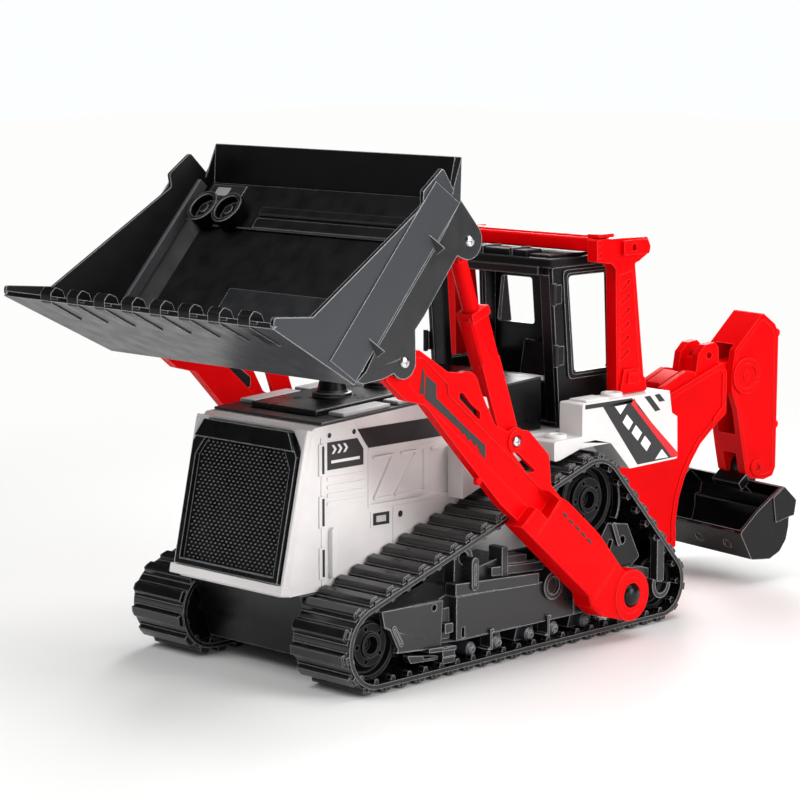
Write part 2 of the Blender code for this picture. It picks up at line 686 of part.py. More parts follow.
def cylinder_barrel(side, name):
    """Cylinder barrel: thin eye at the arm's lug, box body, round collar with the rod's bore."""
    def span(low, high):
        return side * low, side * high

    (uy, uz), _ = cylinder_frame()
    tilt = math.degrees(math.atan2(uz, uy))
    eye = [*arc(CYLINDER_PIN, 7.4, tilt + 90, tilt + 270, 9), on_cylinder(50, 7.4),
           on_cylinder(50, -7.4)]
    body = [on_cylinder(BARREL_START, 8.0), on_cylinder(BARREL_START, -6.4), on_cylinder(77, -7.4),
            on_cylinder(77, 7.8)]
    collar = [on_cylinder(76, -6.2), on_cylinder(76, 7.8), on_cylinder(81, 7.8),
              on_cylinder(81, -6.2)]
    barrel = side_plate(name, eye, *span(EYE_IN, EYE_OUT))
    block = side_plate("block", body, *span(82.6, EYE_OUT))
    top = side_plate("collar", collar, *span(82.9, EYE_OUT))
    bore_start, bore_end = BARREL_START + 1.2, 84
    bore = rod("bore", (0, 0, 0), "Z", 5.0, bore_end - bore_start, 20)
    aim_rod(bore, side, (bore_start + bore_end) / 2)
    hole = rod("hole", (side * 92, *CYLINDER_PIN), "X", PIN_HOLE_R, 8, 16)
    return finish(cut(join(barrel, block, top), bore, hole), MATERIALS["red"],
                  (side * 92, *CYLINDER_PIN))


def aim_rod(obj, side, distance):
    """Turn a Z cylinder along the cylinder's axis, centred at a distance from the clevis pin."""
    (uy, uz), _ = cylinder_frame()
    obj.rotation_euler = (math.atan2(-uy, uz), 0, 0)
    obj.location = place(side * 88.1, *on_cylinder(distance))


def cylinder_rod(side, name):
    """Rod in the barrel, with a flat eye at the bucket."""
    _, length = cylinder_frame()
    start, end = ROD_START, length - 4
    shaft = rod(name, (0, 0, 0), "Z", 4.7, end - start, 20)
    aim_rod(shaft, side, (start + end) / 2)
    (uy, uz), _ = cylinder_frame()
    tilt = math.degrees(math.atan2(uz, uy))
    eye = [*arc(ROD_PIN, 7.0, tilt - 90, tilt + 90, 9), on_cylinder(length - 12, -5.0),
           on_cylinder(length - 12, 5.0)]
    plate = side_plate("eye", eye, side * 84.0, side * 93.4)
    return finish(join(shaft, plate), MATERIALS["red"], (side * 88.1, *ROD_PIN))


def cylinder_pin(side, name):
    profile = [(0, 1.2), (2.9, 1.0), (2.9, 0), (2.0, 0), (2.0, -6.6), (0, -6.6)]
    profile = [(r, h * side) for r, h in profile]
    if side < 0:
        profile = list(reversed(profile))
    centre = (side * (ARM_OUT + GAP), *CYLINDER_PIN)
    return finish(turned(name, profile, centre, steps=16), MATERIALS["steel"])


# ---------------------------------------------------------------- backhoe

def swung(obj):
    """Carry a piece built straight behind the machine round to the swung pose."""
    bpy.context.view_layer.update()
    axis = place(0, SWING_Y, 0)
    turn = Matrix.Translation(axis) @ Matrix.Rotation(math.radians(-SWING_DEG), 4, "Z")
    for piece in [obj] + [m.object for m in obj.modifiers if m.type == "BOOLEAN"]:
        piece.matrix_world = turn @ Matrix.Translation(-axis) @ piece.matrix_world
    return obj


def from_swing(outline):
    return [(SWING_Y + y, z) for y, z in outline]


def swing_bracket():
    block = box("swing_bracket", (-16, 252 + GAP, 44), (16, 254.6, 108))
    pieces = []
    for low, high in ((44, 52), (99, 108)):
        pieces.append(box("lug", (-9, 254, low), (9, SWING_Y, high)))
        pieces.append(rod("eye", (0, SWING_Y, (low + high) / 2), "Z", 9, high - low, 20))
    bore = rod("bore", (0, SWING_Y, 76), "Z", 3.3, 90, 16)
    return finish(cut(join(block, *pieces), bore), MATERIALS["black"])


def swing_pin():
    profile = [(0, 67.6), (5.5, 67.6), (5.5, 64.3), (3.0, 64.3), (3.0, 0), (0, 0)]
    return finish(turned("swing_pin", profile, (0, SWING_Y, 44), "Z", 16), MATERIALS["steel"])


def boom():
    """Boom with a tall foot that carries the swing knuckle, ending in the dipper's tongue."""
    outline = from_swing([
        (0, 57), (12, 55), (14, 49), (40, 40), (66, 24), (75, 24.5), (74.6, 41), (77, 56), (81.7, 69.5),
        (88, 80.5), (95.1, 90.4), (109, 102.5), (117, 108.3), (117, 136), (112, 141.5), (68.1, 124.9),
        (40, 113.5), (14, 101), (12, 96), (0, 94),
    ])
    body = side_plate("boom", outline, -BOOM_HALF, BOOM_HALF)
    relief = [
        box("relief", (min(s * 6, s * 30), SWING_Y - 20, 40), (max(s * 6, s * 30), SWING_Y + 14, 130))
        for s in (-1, 1)
    ]
    knuckle = rod("knuckle", (0, SWING_Y, 75.5), "Z", 6.9, 46, 20)
    tongue = side_plate("tongue", from_swing([
        (115, 113), *arc(DIPPER_PIVOT, 12, 240, 420, 10), (115, 139.5),
    ]), -TONGUE_HALF, TONGUE_HALF)
    lugs = [
        side_plate("lug", from_swing([(92, 131), (112, 138), (112, 154.8), (106, 154.8), (96, 151)]),
                   -10.5, 10.5),
        side_plate("rail", from_swing([(58, 119), (92, 131), (90, 139), (80, 138), (62, 129)]),
                   -13, 13),
    ]
    body = cut(body, *relief)
    body = join(body, knuckle, tongue, *lugs)
    bores = [
        rod("bore", (0, SWING_Y, 76), "Z", 3.3, 90, 16),
        rod("bore", (0, SWING_Y + DIPPER_PIVOT[0], DIPPER_PIVOT[1]), "X", 3.3, 40, 16),
    ]
    return swung(finish(cut(body, *bores), MATERIALS["red"], (0, SWING_Y, 76)))


def dipper():
    """Dipper stick: boxy arm slotted for the boom's tongue and for the rear bucket's bracket."""
    outline = from_swing([
        (149.1, 172.0), (160.4, 163.7), (163.5, 157), (163.1, 67.9), (160.5, 62.5), (152.8, 60.6),
        (141, 62.5), (136.7, 66.5), (133.3, 82.2), (128.5, 108.3), (123.2, 122), (122.6, 131),
        (125.4, 149),
    ])
    stick = side_plate("dipper", outline, -DIPPER_HALF, DIPPER_HALF)
    slot = box("slot", (-8.2, SWING_Y + 118, 92), (8.2, SWING_Y + 150.5, 152))
    foot_slot = box("slot", (-6.2, SWING_Y + 130, 52), (6.2, SWING_Y + 160.5, 79))
    pieces = [
        rod("boss", (s * (DIPPER_HALF + 0.6), SWING_Y + DIPPER_PIVOT[0], DIPPER_PIVOT[1]), "X", 12,
            3.2, 24)
        for s in (-1, 1)
    ]
    pieces += [
        rod("knob", (s * 9.5, SWING_Y + 163.6, z), "X", 3.2, 5, 12)
        for s in (-1, 1) for z in (157.4, 96.5)
    ]
    bores = [
        rod("bore", (0, SWING_Y + pivot[0], pivot[1]), "X", radius, 60, 16)
        for pivot, radius in ((DIPPER_PIVOT, 3.3), (REAR_BUCKET_PIVOT, 2.3))
    ]
    stick = cut(join(cut(stick, slot, foot_slot), *pieces), *bores)
    return swung(finish(stick, MATERIALS["red"], (0, SWING_Y + DIPPER_PIVOT[0], DIPPER_PIVOT[1])))


def cross_pin(name, pivot, radius, half):
    pin = rod(name, (0, SWING_Y + pivot[0], pivot[1]), "X", radius, 2 * half, 16)
    return swung(finish(pin, MATERIALS["steel"]))


def rear_bucket():
    """Digging bucket: rolled sheet between two cheeks, with a hinge plate to the dipper."""
    outer = [
        (103.2, 34.9), (113.5, 16.4), (129.2, 15.2), (138, 19.2), (143.5, 26.6), (145.5, 35),
        (145.7, 41.6), (149.8, 41.8), (151.7, 52.2), (140.6, 62.4), (118.4, 47.9),
    ]
    inner = [
        (104.6, 37.2), (114.6, 18.6), (129, 17.4), (136.5, 21), (141.3, 28), (143.3, 36), (143.4, 43.6),
        (147.8, 44), (149.3, 51.4), (139.8, 60.1), (130, 75), (100, 55),
    ]
    bucket = side_plate("rear_bucket", from_swing(outer), -REAR_BUCKET_HALF, REAR_BUCKET_HALF)
    wall = REAR_BUCKET_HALF - 2.2
    hollow = side_plate("hollow", from_swing(inner), -wall, wall)
    hinge = from_swing([(139.9, 59), (149.5, 50.5), (153, 60), *arc(REAR_BUCKET_PIVOT, 6, 0, 180, 9)])
    plate = side_plate("hinge", hinge, -5.9, 5.9)
    bore = rod("bore", (0, SWING_Y + REAR_BUCKET_PIVOT[0], REAR_BUCKET_PIVOT[1]), "X", 2.3, 30, 16)
    bucket = cut(join(cut(bucket, hollow), plate), bore)
    origin = (0, SWING_Y + REAR_BUCKET_PIVOT[0], REAR_BUCKET_PIVOT[1])
    return swung(finish(bucket, MATERIALS["black"], origin))


# ---------------------------------------------------------------- assembly

clear_scene()
PARTS = new_collection("toy_backhoe_loader")
HELPERS = new_collection("cutters")
MATERIALS = {
    "red": plastic("red_plastic", RED, 0.28),
    "white": plastic("white_plastic", WHITE, 0.4),
    "black": plastic("black_plastic", BLACK, 0.35),
    "track": plastic("track_rubber", TRACK_BLACK, 0.45),
    "steel": plastic("steel", GREY_STEEL, 0.25, 1.0),
}

chassis_belly()
hood_shell()
grille()
hood_top_cover()
exhaust_stack()
air_filter_cap()
rear_body()
cab_shell()
cab_roof()
driver_seat()
rops_arch()
swing_bracket()
swing_pin()
arm_cross_tube()
front_bucket()
boom()
dipper()
cross_pin("dipper_pin", DIPPER_PIVOT, 3.0, 14.8)
rear_bucket()
cross_pin("rear_bucket_pin", REAR_BUCKET_PIVOT, 2.0, 13.2)

for SIDE, WORD in ((1, "left"), (-1, "right")):
    fender(SIDE, f"{WORD}_fender")
    track_frame(SIDE, f"{WORD}_track_frame")
    track_belt(SIDE, f"{WORD}_track_belt")
    wheel(f"{WORD}_front_idler", SIDE, FRONT_IDLER, 12.0, 3.5)
    wheel(f"{WORD}_rear_idler", SIDE, REAR_IDLER, 9.0, 3.5)
    wheel(f"{WORD}_drive_sprocket", SIDE, SPROCKET, 13.0, 5.0)
    for NUMBER, ROLLER in enumerate(ROLLER_Y, 1):
        roller(f"{WORD}_roller_{NUMBER}", SIDE, ROLLER)
    loader_arm(SIDE, f"{WORD}_loader_arm")
    arm_pivot_pin(SIDE, f"{WORD}_arm_pivot_pin")
    cylinder_barrel(SIDE, f"{WORD}_cylinder_barrel")
    cylinder_rod(SIDE, f"{WORD}_cylinder_rod")
    cylinder_pin(SIDE, f"{WORD}_cylinder_pin")
    bucket_screw(SIDE, f"{WORD}_bucket_pivot_screw", BUCKET_PIVOT, ARM_IN - 8)
    bucket_screw(SIDE, f"{WORD}_rod_end_screw", ROD_PIN, 94.6)

for NAME, SPEC in (("front_axle", FRONT_IDLER), ("rear_axle", REAR_IDLER), ("drive_axle", SPROCKET)):
    axle(NAME, SPEC)
bpy.context.view_layer.update()
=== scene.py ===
"""Looks of the toy tracked backhoe loader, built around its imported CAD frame.

Design numbers are millimetres in the CAD model's own layout: Y is counted from the front idler's
axle, +X is the machine's left and +Z is up. place() turns them into the frame's metres.
"""

import json
import math

import bmesh
import bpy
from mathutils import Matrix, Vector


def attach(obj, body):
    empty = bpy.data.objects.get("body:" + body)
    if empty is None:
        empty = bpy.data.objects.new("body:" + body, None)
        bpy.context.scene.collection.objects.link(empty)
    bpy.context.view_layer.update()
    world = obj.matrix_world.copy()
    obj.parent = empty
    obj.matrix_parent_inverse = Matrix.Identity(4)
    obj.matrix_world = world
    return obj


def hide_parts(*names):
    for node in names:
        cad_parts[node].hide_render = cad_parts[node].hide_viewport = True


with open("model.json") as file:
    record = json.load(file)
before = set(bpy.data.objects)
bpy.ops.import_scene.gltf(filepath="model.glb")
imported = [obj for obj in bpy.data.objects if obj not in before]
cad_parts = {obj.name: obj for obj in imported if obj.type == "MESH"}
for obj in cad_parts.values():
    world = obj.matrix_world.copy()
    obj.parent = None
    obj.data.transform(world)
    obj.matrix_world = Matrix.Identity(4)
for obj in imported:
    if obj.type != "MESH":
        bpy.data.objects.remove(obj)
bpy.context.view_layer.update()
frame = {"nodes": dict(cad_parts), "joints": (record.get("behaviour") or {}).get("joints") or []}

MM = 0.001
JOINTS = {joint["name"]: joint for joint in frame["joints"]}


def joint_at(name):
    """A joint's place as (x, y, z) in design numbers."""
    x, y, z = (value / MM for value in JOINTS[name]["pos_m"])
    return x, y - IDLER_Y, z


IDLER_Y = JOINTS["left_front_idler_spin"]["pos_m"][1] / MM
ARM_PIVOT = joint_at("loader_lift")[1:]
BUCKET_PIVOT = joint_at("bucket_tilt")[1:]
CYLINDER_PIN = joint_at("left_cylinder_swing")[1:]
ROD_PIN = (58.8, 244.8)
SWING_Y = joint_at("boom_swing")[1]
SWING_DEG = 10.0
HULL = 45.2               # half width of the body between the tracks
BELT_THICK = 2.6
WHEELS = {                # Y, Z and the radius of the belt's outer face
    "front_idler": (*joint_at("left_front_idler_spin")[1:], 23.2),
    "rear_idler": (*joint_at("left_rear_idler_spin")[1:], 19.9),
    "drive_sprocket": (*joint_at("left_drive_spin")[1:], 25.2),
}
SIDES = ((1, "left"), (-1, "right"))


# ---------------------------------------------------------------- materials

def plastic(name, colour, rough, edge=None, edge_highlight_share=0.5, coat=0.0, grain=0.06, metallic=0.0, shine=0.5):
    """Moulded plastic: fine grain, uneven gloss, faint colour change and a painted highlight along its edges.
    """
    material = bpy.data.materials.new(name)
    material.use_nodes = True
    nodes, links = material.node_tree.nodes, material.node_tree.links
    shader = nodes["Principled BSDF"]
    place_at = nodes.new("ShaderNodeTexCoord")

    def noise(scale, detail):
        node = nodes.new("ShaderNodeTexNoise")
        node.inputs["Scale"].default_value = scale
        node.inputs["Detail"].default_value = detail
        links.new(place_at.outputs["Object"], node.inputs["Vector"])
        return node.outputs["Fac"]

    def spread(source, low, high):
        node = nodes.new("ShaderNodeMapRange")
        node.inputs["From Min"].default_value = 0.3
        node.inputs["From Max"].default_value = 0.7
        node.inputs["To Min"].default_value = low
        node.inputs["To Max"].default_value = high
        links.new(source, node.inputs["Value"])
        return node.outputs["Result"]

    def mix(factor, first, second):
        node = nodes.new("ShaderNodeMix")
        node.data_type = "RGBA"
        links.new(factor, node.inputs["Factor"])
        for source, socket in ((first, "A"), (second, "B")):
            target = [s for s in node.inputs if s.name == socket and s.type == "RGBA"][0]
            if isinstance(source, tuple):
                target.default_value = (*source, 1.0)
            else:
                links.new(source, target)
        return [s for s in node.outputs if s.type == "RGBA"][0]

    darker = tuple(c * 0.86 for c in colour)
    tint = mix(spread(noise(28, 3), 0.0, 1.0), colour, darker)
    # The edge colour is a painted highlight: a bevel-normal mask lightens the colour along every edge.
    if edge:
        bevel = nodes.new("ShaderNodeBevel")
        bevel.samples = 4
        bevel.inputs["Radius"].default_value = 0.8 * MM
        surface = nodes.new("ShaderNodeNewGeometry")
        dot = nodes.new("ShaderNodeVectorMath")
        dot.operation = "DOT_PRODUCT"
        links.new(bevel.outputs["Normal"], dot.inputs[0])
        links.new(surface.outputs["Normal"], dot.inputs[1])
        edge_highlight_mask = nodes.new("ShaderNodeMapRange")
        edge_highlight_mask.inputs["From Min"].default_value = 0.995
        edge_highlight_mask.inputs["From Max"].default_value = 0.90
        edge_highlight_mask.inputs["To Min"].default_value = 0.0
        edge_highlight_mask.inputs["To Max"].default_value = edge_highlight_share
        links.new(dot.outputs["Value"], edge_highlight_mask.inputs["Value"])
        tint = mix(edge_highlight_mask.outputs["Result"], tint, edge)
    links.new(tint, shader.inputs["Base Color"])
    links.new(spread(noise(90, 4), rough * 0.85, rough * 1.2), shader.inputs["Roughness"])
    bump = nodes.new("ShaderNodeBump")
    bump.inputs["Strength"].default_value = grain
    bump.inputs["Distance"].default_value = 0.1 * MM
    links.new(noise(1600, 2), bump.inputs["Height"])
    links.new(bump.outputs["Normal"], shader.inputs["Normal"])
    shader.inputs["Metallic"].default_value = metallic
    shader.inputs["Coat Weight"].default_value = coat
    shader.inputs["Specular IOR Level"].default_value = shine
    shader.inputs["Coat Roughness"].default_value = 0.08
    return material


# The fourth value of each plastic is the colour of its painted edge highlight, the fifth how strongly that
# highlight is painted.
RED = plastic("red_moulded_plastic", (0.80, 0.0005, 0.002), 0.36, (1.0, 0.10, 0.09), 0.40, 0.0, shine=0.05)
WHITE = plastic("white_moulded_plastic", (0.80, 0.775, 0.765), 0.38, (0.95, 0.94, 0.93), 0.4, 0.15)
BLACK = plastic("black_moulded_plastic", (0.0035, 0.0035, 0.0040), 0.30, (0.70, 0.71, 0.73), 0.60, shine=0.28)
WHEEL = plastic("wheel_moulded_plastic", (0.0030, 0.0030, 0.0034), 0.42, (0.30, 0.30, 0.31), 0.30, shine=0.14)
FRAME = plastic("frame_moulded_plastic", (0.012, 0.0125, 0.014), 0.30, (0.70, 0.71, 0.73), 0.75, shine=0.55)
SLATE = plastic("slate_bucket_plastic", (0.036, 0.039, 0.046), 0.36, (0.70, 0.71, 0.74), 0.8, shine=0.36)
# A much darker copy of the bucket's slate plastic for its inside faces and the pieces inside it: painted
# shade.
INSIDE_SHADE = plastic("bucket_inside_painted_shade", (0.0015, 0.0015, 0.0017), 0.40, (0.62, 0.63, 0.65), 0.75, shine=0.2)
RIB = plastic("bucket_rib_plastic", (0.075, 0.077, 0.081), 0.45, (0.30, 0.31, 0.33), 0.6, shine=0.4)
TRACK = plastic("track_soft_plastic", (0.004, 0.004, 0.004), 0.24, (0.60, 0.60, 0.60), 0.5, 0.1, shine=0.5)
GREY = plastic("grey_moulded_plastic", (0.30, 0.30, 0.31), 0.40, (0.6, 0.6, 0.6), 0.5)
PALE = plastic("pale_grey_inlay", (0.56, 0.56, 0.56), 0.36, (0.8, 0.8, 0.8), 0.3)
STEEL = plastic("plated_steel", (0.72, 0.73, 0.75), 0.22, (0.9, 0.9, 0.9), 0.5, 0.0, 0.03, 1.0)
# Grey of the grille's mesh bumps: painted highlights on the dark wire.
DOT_HIGHLIGHT_GREY = plastic("grille_wire_painted_highlight", (0.20, 0.20, 0.21), 0.28, None, 0.0, 0.3)
PRINT_DARK = plastic("dark_printed_stripe", (0.018, 0.017, 0.018), 0.42, None, 0.0, 0.0, 0.03)
PRINT_RED = plastic("red_printed_stripe", (0.72, 0.004, 0.012), 0.42, None, 0.0, 0.0, 0.03)
PRINT_WHITE = plastic("white_printed_mark", (0.86, 0.86, 0.86), 0.42, None, 0.0, 0.0, 0.03)


# ---------------------------------------------------------------- shapes

def place(x, y, z):
    """Design numbers as a point in the frame's metres."""
    return Vector((x, y + IDLER_Y, z)) * MM


def new_object(name, work):
    """An object in the frame's coordinates from a bmesh in design numbers."""
    mesh = bpy.data.meshes.new(name)
    bmesh.ops.recalc_face_normals(work, faces=work.faces)
    if work.calc_volume(signed=True) < 0:
        bmesh.ops.reverse_faces(work, faces=work.faces)
    for vertex in work.verts:
        vertex.co = place(*vertex.co)
    work.to_mesh(mesh)
    work.free()
    obj = bpy.data.objects.new(name, mesh)
    bpy.context.scene.collection.objects.link(obj)
    return obj


def slab(name, outline, low, high, axis="X", holes=()):
    """A flat outline, in the two other axes, filling the span between two values of an axis."""
    curve = bpy.data.curves.new(name, "CURVE")
    curve.dimensions = "2D"
    curve.fill_mode = "BOTH"
    curve.extrude = abs(high - low) / 2
    for points in (outline, *holes):
        spline = curve.splines.new("POLY")
        spline.points.add(len(points) - 1)
        spline.use_cyclic_u = True
        for point, (u, v) in zip(spline.points, points):
            point.co = (u, v, 0.0, 1.0)
    guide = bpy.data.objects.new(name, curve)
    bpy.context.scene.collection.objects.link(guide)
    bpy.context.view_layer.update()
    mesh = bpy.data.meshes.new_from_object(guide.evaluated_get(bpy.context.evaluated_depsgraph_get()))
    bpy.data.objects.remove(guide, do_unlink=True)
    work = bmesh.new()
    work.from_mesh(mesh)
    bpy.data.meshes.remove(mesh)
    bmesh.ops.remove_doubles(work, verts=work.verts, dist=0.002)
    middle = (low + high) / 2
    for vertex in work.verts:
        u, v, w = vertex.co
        if axis == "X":
            vertex.co = (w + middle, u, v)
        elif axis == "Y":
            vertex.co = (u, middle - w, v)
        else:
            vertex.co = (u, v, w + middle)
    return new_object(name, work)


def span(side, low, high):
    """A stretch of X, counted outwards from the middle on one side of the machine."""
    return sorted((side * low, side * high))


def block(name, low, high):
    """A box between two opposite corners."""
    work = bmesh.new()
    middle = [(a + b) / 2 for a, b in zip(low, high)]
    size = [abs(b - a) for a, b in zip(low, high)]
    bmesh.ops.create_cube(work, size=1.0, matrix=Matrix.Translation(middle) @ Matrix.Diagonal((*size, 1)))
    return new_object(name, work)


AXIS_TURN = {
    "X": Matrix.Rotation(math.pi / 2, 4, "Y"),
    "Y": Matrix.Rotation(-math.pi / 2, 4, "X"),
    "Z": Matrix.Identity(4),
}


def drum(name, centre, axis, radius, length, sides=32):
    """A cylinder centred on a point."""
    work = bmesh.new()
    bmesh.ops.create_cone(
        work, cap_ends=True, segments=sides, radius1=radius, radius2=radius, depth=length,
        matrix=Matrix.Translation(centre) @ AXIS_TURN[axis],
    )
    return new_object(name, work)


def lathe(name, profile, centre, axis="X", flip=1, steps=48):
    """A turned piece: (radius, height) points round an axis, heights counted outwards."""
    work = bmesh.new()
    points = [work.verts.new((radius, 0.0, height * flip)) for radius, height in profile]
    closed = profile[0][0] > 0 and profile[-1][0] > 0
    edges = [work.edges.new((points[i], points[i + 1])) for i in range(len(points) - 1)]
    if closed:
        edges.append(work.edges.new((points[-1], points[0])))
    bmesh.ops.spin(work, geom=points + edges, cent=(0, 0, 0), axis=(0, 0, 1), angle=2 * math.pi,
                   steps=steps, use_merge=True)
    bmesh.ops.remove_doubles(work, verts=work.verts, dist=0.002)
    bmesh.ops.transform(work, matrix=Matrix.Translation(centre) @ AXIS_TURN[axis], verts=work.verts)
    return new_object(name, work)


def arc(centre, radius, start_deg, end_deg, count):
    """Points along an arc."""
    step = (end_deg - start_deg) / (count - 1)
    angles = [math.radians(start_deg + step * i) for i in range(count)]
    return [(centre[0] + radius * math.cos(a), centre[1] + radius * math.sin(a)) for a in angles]


def ring(centre, radius, count=24):
    """Points round a circle."""
    return arc(centre, radius, 0, 360 * (count - 1) / count, count)


def rect(u0, v0, u1, v1):
    """A rectangle between two opposite corners, as an outline."""
    return [(u0, v0), (u1, v0), (u1, v1), (u0, v1)]


def stroke(start, end, width):
    """The rectangle round a line, as an outline."""
    (u0, v0), (u1, v1) = start, end
    length = math.hypot(u1 - u0, v1 - v0)
    du, dv = (v1 - v0) / length * width / 2, (u0 - u1) / length * width / 2
    return [(u0 + du, v0 + dv), (u1 + du, v1 + dv), (u1 - du, v1 - dv), (u0 - du, v0 - dv)]


def capsule(start, end, width, count=7):
    """A round-ended bar along a line, as an outline."""
    angle = math.degrees(math.atan2(end[1] - start[1], end[0] - start[0]))
    return (arc(end, width / 2, angle - 90, angle + 90, count)
            + arc(start, width / 2, angle + 90, angle + 270, count))


def rounded(points, radius, steps=3):
    """An outline with its corners rounded, as far as its sides leave room."""
    result = []
    for i, point in enumerate(points):
        corner, before, after = Vector(point), Vector(points[i - 1]), Vector(points[(i + 1) % len(points)])
        a, b = before - corner, after - corner
        long_a, long_b = a.length, b.length
        if min(long_a, long_b) < 0.01:
            continue
        a, b = a / long_a, b / long_b
        angle = a.angle(b)
        reach = min(radius / math.tan(angle / 2), long_a * 0.45, long_b * 0.45) if angle > 0.05 else 0
        if angle > 2.9 or reach < 0.08:
            result.append((corner.x, corner.y))
            continue
        start, end = corner + a * reach, corner + b * reach
        for step in range(steps + 1):
            t = step / steps
            point_on = start.lerp(corner, t).lerp(corner.lerp(end, t), t)
            result.append((point_on.x, point_on.y))
    return result


def inset(points, depth):
    """An outline drawn in by a distance all round."""
    area = sum(points[i - 1][0] * points[i][1] - points[i][0] * points[i - 1][1] for i in range(len(points)))
    turn = 1 if area > 0 else -1
    result = []
    for i, point in enumerate(points):
        corner = Vector(point)
        ahead = (Vector(points[(i + 1) % len(points)]) - corner).normalized()
        back = (corner - Vector(points[i - 1])).normalized()
        normals = [Vector((-d.y, d.x)) * turn for d in (back, ahead)]
        moved = (normals[0] + normals[1]) / (1 + normals[0].dot(normals[1]))
        result.append((corner.x + moved.x * depth, corner.y + moved.y * depth))
    return result


def bake(obj):
    """Apply an object's modifiers."""
    bpy.context.view_layer.update()
    graph = bpy.context.evaluated_depsgraph_get()
    mesh = bpy.data.meshes.new_from_object(obj.evaluated_get(graph))
    obj.modifiers.clear()
    old = obj.data
    obj.data = mesh
    bpy.data.meshes.remove(old)
    return obj


def combine(base, others, operation):
    """Boolean several objects into one and remove them."""
    for other in others:
        change = base.modifiers.new("Combine", "BOOLEAN")
        change.operation = operation
        change.solver = "EXACT"
        change.object = other
    bake(base)
    for other in others:
        bpy.data.objects.remove(other, do_unlink=True)
    return base


def fuse(base, *others):
    return combine(base, others, "UNION")


def carve(base, *others):
    return combine(base, others, "DIFFERENCE")


def merged(name, pieces):
    """Several pieces as one named object."""
    pieces[0].name = name
    return fuse(*pieces)


def soften(obj, width, segments=2, angle=28):
    """Round an object's edges and shade it smooth."""
    bevel = obj.modifiers.new("Rounded edges", "BEVEL")
    bevel.width = width * MM
    bevel.segments = segments
    bevel.limit_method = "ANGLE"
    bevel.angle_limit = math.radians(angle)
    bevel.harden_normals = True
    obj.data.shade_smooth()
    if obj.name not in frame["nodes"]:
        obj.data.set_sharp_from_angle(angle=math.radians(angle))
    return obj


def finish(obj, material, body, edge=0.5, replaces=(), segments=2):
    """Give a piece its material, unless it has one, and rounded edges; let it ride on a CAD body."""
    if not obj.data.materials:
        obj.data.materials.append(material)
    if edge:
        soften(obj, edge, segments)
    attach(obj, body)
    if replaces:
        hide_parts(*replaces)
    return obj


def swung(obj):
    """Turn a piece built straight behind the machine to the swung rest pose."""
    pivot = place(0, SWING_Y, 0)
    turn = Matrix.Rotation(math.radians(-SWING_DEG), 4, "Z")
    obj.data.transform(Matrix.Translation(pivot) @ turn @ Matrix.Translation(-pivot))
    return obj


def behind(outline):
    """Outline points counted back from the swing pin, as design numbers."""
    return [(SWING_Y + y, z) for y, z in outline]


# ---------------------------------------------------------------- camera, light and floor

def backdrop():
    """White to the camera, dim to everything else, and dimmest in reflections."""
    world = bpy.data.worlds.new("studio")
    bpy.context.scene.world = world
    world.use_nodes = True
    nodes, links = world.node_tree.nodes, world.node_tree.links
    background = nodes["Background"]
    background.inputs["Color"].default_value = (0.93, 0.95, 1.0, 1)
    seen = nodes.new("ShaderNodeLightPath")
    strength = nodes.new("ShaderNodeMapRange")
    strength.inputs["To Min"].default_value = 0.10
    strength.inputs["To Max"].default_value = 1.05
    links.new(seen.outputs["Is Camera Ray"], strength.inputs["Value"])
    dimmed = nodes.new("ShaderNodeMath")
    dimmed.operation = "MULTIPLY_ADD"
    dimmed.inputs[1].default_value = -0.07
    links.new(seen.outputs["Is Glossy Ray"], dimmed.inputs[0])
    links.new(strength.outputs["Result"], dimmed.inputs[2])
    links.new(dimmed.outputs["Value"], background.inputs["Strength"])


def paper_floor():
    """Pale floor that glows white further out, so that it fades into the backdrop."""
    work = bmesh.new()
    bmesh.ops.create_grid(work, x_segments=60, y_segments=60, size=6.0)
    mesh = bpy.data.meshes.new("studio_floor")
    work.to_mesh(mesh)
    work.free()
    floor = bpy.data.objects.new("studio_floor", mesh)
    bpy.context.scene.collection.objects.link(floor)
    material = bpy.data.materials.new("studio_floor_paper")
    material.use_nodes = True
    nodes, links = material.node_tree.nodes, material.node_tree.links
    shader = nodes["Principled BSDF"]
    shader.inputs["Base Color"].default_value = (0.86, 0.86, 0.85, 1)
    shader.inputs["Roughness"].default_value = 0.55
    glow = nodes.new("ShaderNodeEmission")
    glow.inputs["Color"].default_value = (0.985, 0.985, 0.97, 1)
    where = nodes.new("ShaderNodeTexCoord")
    length = nodes.new("ShaderNodeVectorMath")
    length.operation = "LENGTH"
    links.new(where.outputs["Object"], length.inputs[0])
    fade = nodes.new("ShaderNodeMapRange")
    fade.interpolation_type = "SMOOTHSTEP"
    fade.inputs["From Min"].default_value = 0.30
    fade.inputs["From Max"].default_value = 0.95
    links.new(length.outputs["Value"], fade.inputs["Value"])
    seen = nodes.new("ShaderNodeLightPath")
    mirrored = nodes.new("ShaderNodeMath")
    mirrored.operation = "MULTIPLY_ADD"
    mirrored.inputs[1].default_value = 0.25
    links.new(seen.outputs["Is Glossy Ray"], mirrored.inputs[0])
    links.new(seen.outputs["Is Camera Ray"], mirrored.inputs[2])
    share = nodes.new("ShaderNodeMath")
    share.operation = "MULTIPLY"
    links.new(fade.outputs["Result"], share.inputs[0])
    links.new(mirrored.outputs["Value"], share.inputs[1])
    mixed = nodes.new("ShaderNodeMixShader")
    links.new(share.outputs["Value"], mixed.inputs["Fac"])
    links.new(shader.outputs["BSDF"], mixed.inputs[1])
    links.new(glow.outputs["Emission"], mixed.inputs[2])
    links.new(mixed.outputs["Shader"], nodes["Material Output"].inputs["Surface"])
    mesh.materials.append(material)


